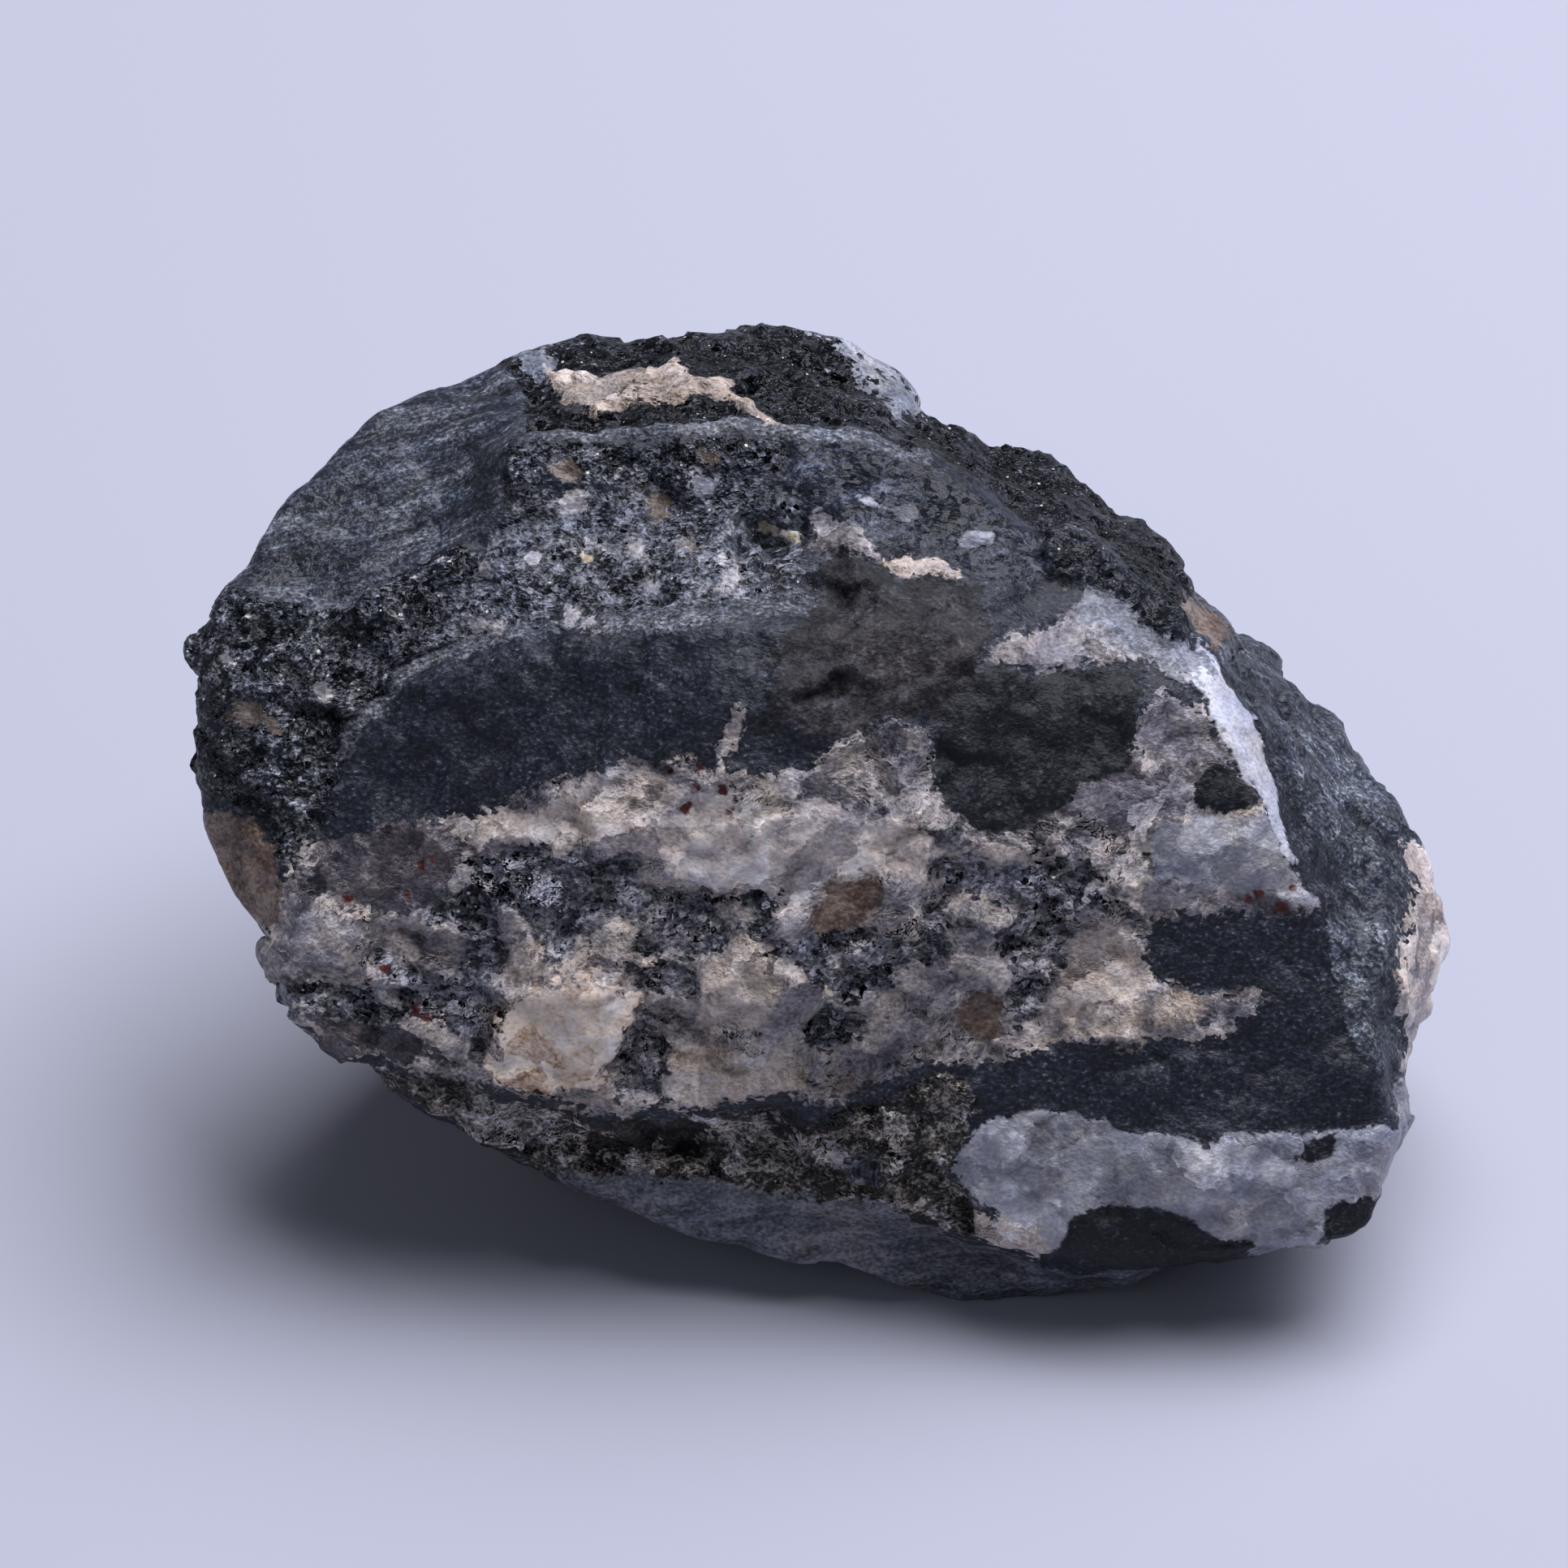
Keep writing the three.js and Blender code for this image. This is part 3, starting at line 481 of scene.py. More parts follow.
            [(-1.5, 28.4), (1, 28.4), (2.8, 26.8), (4.6, 25), (6.2, 23), (4.4, 22.6), (3, 24.2),
             (1.6, 25.4), (0.4, 26.2), (-0.8, 26.8)],
        ],
    },
    # Fresh cream feldspar: warm white, amber in its cracks.
    "feldspar": {
        "tones": [(0.25, "9A7E6B"), (0.34, "CDB29B"), (0.44, "E9D8C9"), (0.56, "F7EFE7"),
                  (0.7, "FFFFFF")],
        "texture": "blocky",
        "roughness": 0.42, "glint": 0.12, "facet": 0.5, "bite": 0.6,
        "ragged": 2.2, "rise": 0.25, "grainy": 0.5,
        "zones": [
            [(-18.5, -13.9), (-17.9, -11.6), (-16.7, -10), (-15.4, -9.3), (-13.5, -9),
             (-11.5, -9.3), (-10.2, -10), (-9.9, -11.6), (-10.6, -12.6), (-12.3, -13.8),
             (-12.4, -15.3), (-14, -15.7), (-16.5, -15.4), (-18.4, -15.2)],
        ],
    },
    # Feldspar that has begun to weather: duller, and crumbled.
    "weathered_feldspar": {
        "tones": [(0.2, "7B6F67"), (0.4, "B5A89D"), (0.6, "E1D3C8"), (0.82, "FFFFFD")],
        "texture": "blocky",
        "roughness": 0.5, "glint": 0.2, "facet": 0.7, "bite": 1.1,
        "ragged": 1.1, "rise": 0.15, "grainy": 0.9,
        "zones": [
            [(-8.7, -15.8), (-8.6, -14), (-7.8, -12.9), (-5.5, -12.8), (-2, -13.6),
             (-1, -14.6), (-1, -15.6), (-4, -16), (-7, -15.7)],
            [(-15.4, 25.2), (-14.6, 24.6), (-12.4, 24.4), (-11.4, 25), (-9, 25.1), (-8.2, 25.6),
             (-7.4, 24.7), (-6.8, 24), (-5.6, 24.3), (-4.6, 23.6), (-3.6, 22.6), (-2.4, 21.7),
             (-3, 21.5), (-4.2, 22.2), (-5, 23), (-6.4, 23.4), (-7.8, 23.1), (-9.4, 23.3),
             (-10.6, 22.8), (-12.2, 22.2), (-13, 22.9), (-14.4, 23.4), (-15.2, 24.2)],
            [(-6.4, -9.9), (-6.2, -8.3), (-5, -7.6), (-3.4, -7), (-2.6, -7.9), (-2.2, -9),
             (-2.5, -10.3), (-3.4, -11.4), (-5, -12.2), (-6.3, -12.5), (-7.4, -12), (-7, -11)],
            [(-14, -0.6), (-11.5, 2), (-9.5, 2.4), (-7.6, 1.4), (-8.5, 0.2), (-11, 0),
             (-13, -1.6)],
            [(3.4, 13.4), (4, 14.4), (6.3, 14), (7.6, 13.3), (7.8, 12.6), (6.4, 12.8),
             (4.6, 13)],
            [(13.2, -10.4), (14, -7), (15.4, -5.6), (17, -5.8), (17.6, -8), (17.8, -10),
             (17.4, -12), (15.6, -12.6), (13.6, -12.4)],
            [(8.6, -22.2), (10.4, -22.2), (12, -23), (13.2, -23.6), (12.4, -24.8),
             (10.5, -24.2), (8.8, -23.6)],
            [(18.4, -10), (20, -10), (22.4, -10.1), (21.6, -11), (20.6, -11.9), (19, -11.8),
             (18.2, -11)],
        ],
    },
    # Smoky quartz: brown glass with a cloud in it.
    "smoky_quartz": {
        "tones": [(0.3, "4F4138"), (0.5, "77655A"), (0.75, "A59488")],
        "texture": "cloudy",
        "roughness": 0.3, "glint": 0.15, "facet": 0.3, "bite": 0.6,
        "ragged": 1.2, "rise": -0.1, "grainy": 0.5,
        "zones": [
            [(-0.2, -4.4), (0.7, -3.6), (3, -3.4), (3.8, -4.3), (3.2, -5.4), (2, -6.2),
             (0.2, -6.9), (-0.5, -6)],
            [(-36, -0.5), (-33, 0), (-31.5, -0.8), (-30.2, -2), (-30, -4), (-30.2, -6),
             (-32, -7), (-34.4, -4.6), (-35, -2.6)],
            [(8, -9.8), (9.5, -9.4), (10.4, -10.2), (10.2, -12), (8.8, -12.8), (7.8, -12),
             (7.6, -10.8)],
            [(20.4, 12), (22, 11), (23, 9.8), (21.8, 9), (20.9, 9.9), (20, 11.4)],
        ],
    },
    # Mica in flakes: black, grey and white side by side, and glittering.
    "mica_schist": {
        "tones": [(0.22, "222428"), (0.4, "52545C"), (0.57, "8D8C94"), (0.74, "CECED8"),
                  (0.9, "F5F5F5")],
        "texture": "flaky",
        "roughness": 0.3, "glint": 0.8, "facet": 0.65, "bite": 1.6,
        "ragged": 1.9, "rise": -0.3, "grainy": 1.3,
        "zones": [
            [(-19.8, -2.6), (-17, -2), (-14.2, -2.2), (-13.4, -1.2), (-12.6, -2.6),
             (-10.6, -2.5), (-10, -4), (-8, -4.2), (-6.2, -3.9), (-6, -5), (-5.8, -6),
             (-4.6, -6.4), (-5, -7.4), (-7, -8.2), (-9.5, -7.8), (-10.5, -6.4), (-13, -5.6),
             (-14, -8.6), (-15.5, -8.5), (-16, -6.4), (-18.4, -4.5)],
            [(-22.4, -5.8), (-21.4, -4.6), (-19.4, -4.6), (-18.3, -5.8), (-18.2, -7),
             (-17.4, -7.6), (-18, -9.4), (-18.4, -13), (-18.9, -13.8), (-20, -12.6),
             (-21.5, -11.6), (-23, -11.9), (-24, -9.9), (-25.6, -8), (-24, -7), (-22.6, -8.4),
             (-21.6, -9.6), (-20, -8.4), (-19.6, -7.2), (-21, -6.2)],
            [(-10.8, -8.5), (-8, -8.2), (-6.4, -8.8), (-6.6, -9.8), (-8.5, -9.9),
             (-10.2, -9.4)],
            [(-0.9, -6.6), (0.4, -7), (3, -6.6), (5.8, -7), (6.2, -8.2), (4.4, -8.8),
             (3.4, -9.8), (1.5, -10.2), (-0.2, -9.6), (-1, -8), (-2.2, -7.4)],
            [(0.6, -10.4), (-0.9, -11.6), (-0.8, -12.8), (0.6, -13.6), (2.2, -12),
             (2.4, -11.4)],
            [(-3.9, -4.5), (-2.8, -4.2), (-2.6, -5.4), (-2.2, -7.2), (-0.6, -8), (-1.2, -8.8),
             (-2.8, -7.4), (-3.9, -6)],
            [(6.2, -2.6), (8, -2.4), (10.5, -3), (14, -2.4), (15, -3.4), (13.6, -6),
             (13.8, -7.6), (12.6, -9.6), (12.4, -12), (10.8, -12), (10.4, -9), (9.8, -7),
             (10.8, -5.6), (8.4, -4.6), (7, -5), (6.6, -7.8), (5, -6.8), (6, -4.6)],
            [(-11.8, -14), (-11.4, -12.6), (-10.2, -11), (-9.4, -11), (-8.8, -13),
             (-8.8, -15.8), (-11.4, -15.8)],
            [(-30.2, -9.8), (-28, -9.6), (-25.4, -10), (-23.4, -11.4), (-22.6, -12),
             (-25, -11.8), (-28, -11.2), (-30, -11)],
        ],
    },
    # Schist caught in the vein: dark, with pale streaks.
    "dark_inclusion": {
        "tones": [(0.25, "0F1117"), (0.5, "171920"), (0.7, "252831"), (0.84, "434652"),
                  (0.95, "7A7D86")],
        "texture": "streaky",
        "roughness": 0.6, "glint": 0.15, "facet": 0, "bite": 0.6,
        "ragged": 0.8, "rise": 0.1, "grainy": 0.5,
        "zones": [
            [(7, 6.4), (9.4, 7.8), (12, 7.7), (15, 7.8), (17.8, 8.2), (17.4, 5), (17.2, 2.2),
             (14.4, 1.6), (13, 0), (11, -1), (8.6, -1), (7, 0.6), (6.2, 2.4), (6.6, 4.6)],
            [(20.6, 0.4), (21, 1.8), (22, 2.7), (23, 2.3), (23.9, 0.6), (23.6, 0),
             (22.5, -0.2), (21, 0.2)],
            [(28.2, -22.4), (29.2, -21.8), (31.4, -21.7), (31.4, -23.2), (29.4, -24.4),
             (28.6, -23.9), (28.2, -23)],
            [(13.2, -24.2), (14.3, -22.7), (16, -22), (18.5, -21.9), (20.4, -22.6),
             (22, -23.4), (24.3, -24.4), (22.5, -25), (19.4, -25.3), (15, -25.6), (12.4, -25)],
            [(26.2, -18.2), (28.6, -18.2), (28.6, -19.7), (27.4, -19.7), (26.6, -19.3),
             (27, -18.6)],
        ],
    },
    # Schist with fine mica: a dark knob full of tiny glints.
    "glittering_schist": {
        "tones": [(0.3, "0F1217"), (0.5, "1B1E26"), (0.7, "31353F"), (0.84, "5C606C"),
                  (0.95, "A2A5AE")],
        "texture": "granular",
        "roughness": 0.4, "glint": 0.6, "facet": 0.1, "bite": 1,
        "ragged": 0.5, "rise": 0.5, "grainy": 0.6,
        "zones": [
            [(12, 14.2), (12.8, 15.4), (14.8, 15.5), (16, 14), (17.2, 13.2), (18, 12.7),
             (19.4, 11.7), (21, 10), (20.4, 9.6), (19.5, 9), (18, 10.4), (17, 11.6),
             (15.8, 12.2), (14.2, 12.7), (13, 13.3)],
        ],
    },
    # Slate under the foot: grey streaks along the layers.
    "foot_slate": {
        "tones": [(0.3, "34363B"), (0.5, "5D6067"), (0.75, "8B8E97")],
        "texture": "slaty",
        "roughness": 0.4, "glint": 0.15, "facet": 0, "bite": 0.5,
        "ragged": 0.6, "rise": 0, "grainy": 0.2,
        "zones": [
            [(-15, -20.4), (-11, -19.6), (-6, -20), (-1, -20.6), (3, -21), (6, -22.4),
             (8, -23.9), (10.5, -24.4), (12.4, -25), (15, -25.7), (19, -25.3), (19, -28),
             (4, -29), (0, -27.5), (-8, -25.5), (-14, -22.5)],
        ],
    },
    # Rock torn across its layers: ledges of black, grey and white.
    "rough_underside": {
        "tones": [(0.3, "1A1A19"), (0.44, "4D4A46"), (0.56, "908A84"), (0.7, "D0C9C4"),
                  (0.86, "FFFFFF")],
        "texture": "ledgy",
        "roughness": 0.55, "glint": 0.4, "facet": 0.8, "bite": 1.8,
        "ragged": 1.4, "rise": 0, "grainy": 1.6,
        "zones": [
            [(-25.3, -14), (-23, -14.4), (-21, -15), (-18, -15.9), (-15, -16.8), (-12, -17.6),
             (-9.5, -17), (-6, -16.4), (-3.5, -16.6), (-1, -17.2), (2, -16.6), (5, -15.6),
             (6.4, -14.6), (8, -15), (9, -16.6), (8, -18), (7.2, -19.8), (8.4, -21.4),
             (8.6, -23.6), (6, -22.8), (3, -21.6), (-1, -21.2), (-6, -20.6), (-11, -20.2),
             (-15, -20.4), (-20, -17.4), (-23, -15.6)],
        ],
    },
    # Schist with a brown stain from the ore.
    "stained_schist": {
        "tones": [(0.28, "151519"), (0.48, "28272C"), (0.66, "444044"), (0.84, "726D70")],
        "texture": "cloudy",
        "roughness": 0.65, "glint": 0.15, "facet": 0.2, "bite": 0.6,
        "ragged": 2.4, "rise": 0, "grainy": 0.7,
        "zones": [
            [(-3, 4.6), (-2.8, 7.6), (-1.6, 9.8), (-0.4, 12), (1, 14), (2.6, 13.6), (4, 12.8),
             (8.6, 12.2), (9.4, 9.4), (8, 6.6), (6.6, 5), (4, 5.6), (2, 4.8), (0, 3.6)],
        ],
    },
    # A hollow, sunk a little, with its shade painted in: dark and dull.
    "dark_hollow": {
        "tones": [(0.3, "121213"), (0.55, "2D2A2A"), (0.8, "635E58")],
        "texture": "cloudy",
        "roughness": 0.6, "glint": 0.2, "facet": 0.2, "bite": 1.4,
        "ragged": 3, "rise": -0.5, "grainy": 1.2,
        "zones": [
            [(-16, -16.3), (-12.3, -17.7), (-9.7, -16.8), (-8, -17), (-5.8, -17.7),
             (-7, -18.6), (-6.8, -19.4), (-9.4, -19.2), (-12.5, -19.6), (-15, -18)],
            [(-3.6, -16.6), (-0.8, -17.2), (-1.2, -18.3), (-2.6, -18.8), (-3.2, -17.8)],
        ],
    },
    # Wolframite: black crystals; the metallic sheen on their flat faces is painted in, as grey to
    # white tones.
    "wolframite": {
        "tones": [(0.25, "272A31"), (0.5, "5C6069"), (0.7, "A7ABB5"), (0.9, "FFFFFF")],
        "texture": "flaky",
        "roughness": 0.2, "glint": 0.5, "facet": 0.8, "bite": 0.5,
        "ragged": 1.6, "rise": -0.1, "grainy": 1.4,
        "zones": [
            [(-6.2, 15.8), (-5.6, 16.5), (-4.2, 16.9), (-2.8, 16.6), (-1.6, 17.4), (-0.9, 16.8),
             (-1.2, 15.4), (-1.8, 14.4), (-2.2, 13.5), (-3.6, 13.2), (-4.4, 12.5), (-5, 13.6)],
        ],
        "lumps": [(2.4, -19.8, 0.9)],
    },
    # Single grains of quartz: pale, clear-edged specks.
    "quartz_grains": {
        "tones": [(0.3, "8E8F98"), (0.5, "B4B3BA"), (0.75, "DCD8D6")],
        "texture": "cloudy",
        "roughness": 0.35, "glint": 0.3, "facet": 0.4, "bite": 0.6,
        "ragged": 1.8, "rise": 0.15, "grainy": 0.5,
        "zones": [
            [(-6.4, 14.3), (-5.6, 14), (-5.5, 13.2), (-6.2, 13.3)],
        ],
        "lumps": [
            (-14.2, 17.1, 0.7), (-13.6, 17.5, 0.5), (-5.1, 12.6, 0.6), (-4.4, 12.1, 0.4),
            (-13.8, 10.9, 0.7), (-12.9, 10.4, 0.5), (-19, 10.4, 0.3), (-17.8, 10.1, 0.3),
            (-16.1, 14, 0.5), (-6.8, 18.3, 0.5), (-6.2, 18, 0.3), (-18.7, 13.7, 0.4),
            (-10.2, 14.4, 0.6), (-9.4, 12.2, 0.5), (-30.2, 7.3, 0.35), (-27.4, 6.6, 0.4),
            (-33, 8.4, 0.3), (0.5, -18.8, 0.45), (1.2, -19.2, 0.35), (-20.6, -18.2, 0.3),
        ],
    },
    # Single grains rich in iron: dull brown.
    "brown_grains": {
        "tones": [(0.3, "4B423C"), (0.55, "6E6259"), (0.8, "8E8278")],
        "texture": "cloudy",
        "roughness": 0.4, "glint": 0.2, "facet": 0.3, "bite": 0.8,
        "ragged": 1.5, "rise": 0.15, "grainy": 0.5,
        "zones": [],
        "lumps": [
            (-9, 16.6, 0.5), (-9.1, 17.2, 0.5), (-14.5, 19, 0.7), (-14, 18.5, 0.4),
            (-7.3, 14.6, 0.5), (-31.8, 5.4, 0.9), (-30.6, 5, 0.6), (-6.4, 19.6, 0.4),
        ],
    },
    # Specks of rusted iron ore: small and dark red.
    "rust_grains": {
        "tones": [(0.3, "4A211D"), (0.7, "6E332C")],
        "texture": "spotty",
        "roughness": 0.5, "glint": 0.1, "facet": 0.2, "bite": 0.8,
        "ragged": 0.6, "rise": 0, "grainy": 0.7,
        "zones": [],
        "lumps": [
            (-8.2, 2.4, 0.2), (-6.6, 2.5, 0.3), (-6.8, 1.5, 0.3), (-5.4, 1.2, 0.3),
            (-7.2, 0.6, 0.2), (-7.5, 0.2, 0.2), (-4.9, 0.2, 0.25), (-3, 0.4, 0.25),
            (-26.4, -4.8, 0.35), (-25.6, -5.6, 0.25), (-23, -4.6, 0.25), (-22.2, -3, 0.3),
            (-21.6, -2.6, 0.25), (-24.4, -8.6, 0.35), (-25.2, -9, 0.25), (-22.6, -11, 0.3),
            (-22, -11.4, 0.25), (-23.4, -9.6, 0.2), (24.4, -4.4, 0.25), (25.6, -5.2, 0.25),
            (26.2, -4.2, 0.2), (23.8, -4.8, 0.2),
        ],
    },
    # Painted highlights: gold to white spots where mica faces catch the lamp.
    "mica_glints": {
        "tones": [(0.3, "D9C79E"), (0.6, "FFFAEC")],
        "texture": "spotty",
        "roughness": 0.25, "glint": 0, "facet": 0, "bite": 0.3,
        "ragged": 1.2, "rise": -0.2, "grainy": 0.5,
        "zones": [
            [(-3.4, 15.9), (-2.5, 16.1), (-1.7, 15.6), (-1, 15.2), (-1.4, 14.9), (-2.3, 15.5)],
        ],
        "lumps": [
            (-13.1, 14.2, 0.16), (17.6, -2.1, 0.34), (17.9, -2.7, 0.28), (0.4, -10.2, 0.3),
        ],
    },
}
EDGE_WANDER = [(2.4, 0.32), (0.9, 0.16)]  # sizes and reach of the zones' uneven edges
LUMP_DEPTH = -12  # single grains are only this far behind the face, or nearer
BACK = (-15, -27)  # out of the show face: from the first to the second, zones change
NARROWER = 0.25  # share of its width that a zone loses there
DRIFT_ACROSS = (14, 9)  # there each zone drifts, over this size and this far
DRIFT_UP = (17, 7)
LOWER = 5  # and lies this far lower
NEARBY = 3  # millimetres from a border, past which the distance no longer counts
WANDER_SALTS = (3, 8)  # a salt keeps one random pattern apart from the others
DRIFT_SALTS = (4, 6)


def signed_distance(x, y, corners):
    """Distance to the outline through the corners, less than zero inside it."""
    nearest = np.full(len(x), FAR_OFF)
    inside = np.zeros(len(x), bool)
    for (x0, y0), (x1, y1) in zip(corners, corners[1:] + corners[:1]):
        dx, dy = x1 - x0, y1 - y0
        along = np.clip(((x - x0) * dx + (y - y0) * dy) / (dx * dx + dy * dy), 0, 1)
        nearest = np.minimum(nearest, np.hypot(x - x0 - along * dx, y - y0 - along * dy))
        if dy:
            crosses = (y0 > y) != (y1 > y)
            inside ^= crosses & (x < x0 + (y - y0) * dx / dy)
    return np.where(inside, -nearest, nearest)


across, up, out = on_show_face(points)
behind = np.clip((BACK[0] - out) / (BACK[0] - BACK[1]), 0, 1)
wander_x, wander_y = (
    sum(reach * noise(points, size, salt) for size, reach in EDGE_WANDER)
    for salt in WANDER_SALTS
)
drift_x = DRIFT_ACROSS[1] * noise(points, DRIFT_ACROSS[0], DRIFT_SALTS[0])
drift_y = LOWER + DRIFT_UP[1] * noise(points, DRIFT_UP[0], DRIFT_SALTS[1])
map_x = across * (1 - NARROWER * behind) + wander_x + behind * drift_x
map_y = up + wander_y + behind * drift_y
distance = {}
for name, mineral in MINERALS.items():
    outlines = [signed_distance(map_x, map_y, zone) for zone in mineral["zones"]]
    lumps = [np.hypot(across - x, up - y) - size for x, y, size in mineral.get("lumps", [])]
    lumps = [np.where(out > LUMP_DEPTH, lump, NEARBY) for lump in lumps]
    distance[name] = np.min(outlines + lumps, axis=0)

# Relief: each mineral stands a little proud or lies a little deep, and breaks in flat grains.
GRAIN_SIZES = [  # size and tilt of the broken grains, the step between them, and a salt
    (3.4, 0.32, 0.3, 20), (1.7, 0.36, 0.16, 29), (0.9, 0.3, 0.05, 38),
]
RIPPLES = [(2.2, 0.16, 50), (1.0, 0.08, 51)]  # size, depth and salt
ZONE_STEP = 0.5  # millimetres over which a mineral's step rises
STEP_FADE = 0.6  # steps between minerals fade out where the stone turns away this far
CHIPPED = 0.35  # how much the sharp edges of the grains are worn
SWELL = 0.35  # puts back what the wear took off
TABLE_CONTACT = 0.02  # points this low, in millimetres, lie on the table and stay there
EDGE_WIDTH = 8  # how many points wide a worn edge or a hollow is
EDGE_WEAR = 0.9  # how far each turn smooths the surroundings it is compared with
EDGE_HEIGHT = 0.45  # millimetres that a full edge stands out
EDGE_LIMIT = 3  # an edge that stands out more than this many full edges counts as this

outward = facing(points, faces)
grainy = np.full(len(points), SCHIST["grainy"])
rise = np.zeros(len(points))
for name, mineral in MINERALS.items():
    share = np.clip(0.5 - distance[name] / ZONE_STEP, 0, 1)
    grainy += share * (mineral["grainy"] - grainy)
    rise += share * (mineral["rise"] - rise)
rise *= np.clip(outward @ np.array(OUT) / STEP_FADE, 0, 1)
for size, tilt, step, salt in GRAIN_SIZES:
    offset, chance = grains(points, size, salt)
    slope = np.sum((chance - 0.5) * offset, axis=1)
    rise += grainy * (tilt * slope + step * (chance[:, 0] - 0.5))
for size, depth, salt in RIPPLES:
    rise += depth * noise(points, size, salt)
level = points[:, 2] < TABLE_CONTACT
points = points + np.where(level, 0, rise + SWELL)[:, None] * outward
points = np.where(level[:, None], points, wear(points, faces, CHIPPED))
points[:, 2] = np.maximum(points[:, 2], 0)

# How far each point stands out from its surroundings, near and wide: worn edges and hollows.
outward = facing(points, faces)
around = points
for turn in range(EDGE_WIDTH):
    around = wear(around, faces, EDGE_WEAR)
edge = np.sum((points - around) * outward, axis=1) / EDGE_HEIGHT

# ---------------------------------------------------------------------------
# Stone, its finish: rock as it broke, dull between the grains, with glassy quartz and
# glittering mica. One node tree serves every mineral. Each takes its tones from one of the
# shared textures, and its zone from the distances above.
# ---------------------------------------------------------------------------
# The patterns, in millimetres. Real mica and grit go down to a tenth of a millimetre, and
# are drawn coarser here, so that they show.
GRIT = 0.22  # across the finest specks
GRAIN = 1.0  # across a grain
CLOUD = 4.5  # across a paler or darker patch
WARMTH = 2.2  # patches of a warmer and a cooler tone
FLAKE = 0.34  # across a mica flake
BLOCK = 2.2  # across a cleaved crystal, with smaller ones in it
STREAK = 0.18  # across a streak of the schist
WIDE_STREAK = 0.8  # and across one on the shoulder and the flank
LAYERS = (1, 0, 0)  # the way the schist's streaks run
SHOULDER_GRAIN = (0.95, 0.2, 0.24)  # and on the slate shoulder
FLANK_GRAIN = (0.7, -0.46, -0.55)  # and on the right flank
DRAWN_OUT = {"layers": 1.25, "streak": 2, "shoulder": 9, "flank": 6}  # length over width
FINER_PARTS = 0.62  # how strong the finer parts of a pattern are
NOISE_RANGE = (0.3, 0.7)  # what most of the noise lies in, spread from darkest to palest
FLAKE_SPREAD, BLOCK_SPREAD = 0.5, 0.42  # the same for flakes and blocks, each way from 0.5
SMALLER_BLOCKS = 0.6  # how strong the smaller crystals in a block are
CRUMB = 0.6  # size of the crumbs along the borders of flakes and blocks
FINER_CRUMBS = 0.8
CRUMBLED = {"flake": 0.05, "block": 0.35}  # how far these borders wander

# How much of each pattern a mineral's texture has.
TEXTURES = {
    "streaky": {"grit": 0.45, "streak": 0.27, "grain": 0.16, "cloud": 0.12},
    "granular": {"grit": 0.37, "flake": 0.25, "grain": 0.2, "cloud": 0.18},
    "slaty": {"shoulder": 0.4, "grit": 0.33, "cloud": 0.27},
    "sheared": {"flank": 0.3, "grit": 0.35, "cloud": 0.35},
    "speckled": {"grit": 0.5, "cloud": 0.3, "grain": 0.2},
    "cloudy": {"cloud": 0.4, "grain": 0.3, "grit": 0.3},
    "blocky": {"cloud": 0.3, "grain": 0.22, "block": 0.28, "grit": 0.2},
    "flaky": {"grit": 0.25, "flake": 0.3, "grain": 0.15, "block": 0.3},
    "ledgy": {"block": 0.4, "grain": 0.3, "grit": 0.3},
    "spotty": {"grain": 0.5, "grit": 0.5},
}
RAGGED = {"grain": 0.35, "flake": 0.3, "block": 0.35}  # what the zones' borders follow
RELIEF = {"grit": 0.05, "grain": 0.05}  # millimetres, for a bite of 1
TURN = 2.0  # how far the small faces turn away from the rock's own face
COOL = (0.95, 0.98, 1.08, 1)  # factors on the red, green and blue
WARM = (1.07, 1.0, 0.92, 1)
PAINTED_GLINT_TINTS = ("DCE6F5", "F0E6CC")  # painted glints: bluish and golden highlight colours
PAINTED_GLINT_SHARE = 0.2  # share of the flakes given a painted glint, for a glint of 1
PAINTED_HOLLOW_SHADE, EDGE_WEAR_AND_HIGHLIGHT = 0.42, 1.15  # painted shade darkens a hollow; an edge is paler, partly worn and partly a painted highlight
STAINS = [("feldspar", 2.4, (1.06, 0.99, 0.9, 1))]  # the mineral, how far its stain runs, its tint
BORDER = 0.08  # millimetres on either side over which one mineral gives way to the next
QUARTZ_IOR = 1.54
PITTED_GLOSS = 0.25  # a broken face is full of pits, so it mirrors less than a polished one

# The distances are kept on the mesh as vectors, each with three minerals' distances.
ZONES = list(MINERALS)
GROUPS = [ZONES[start : start + 3] for start in range(0, len(ZONES), 3)]


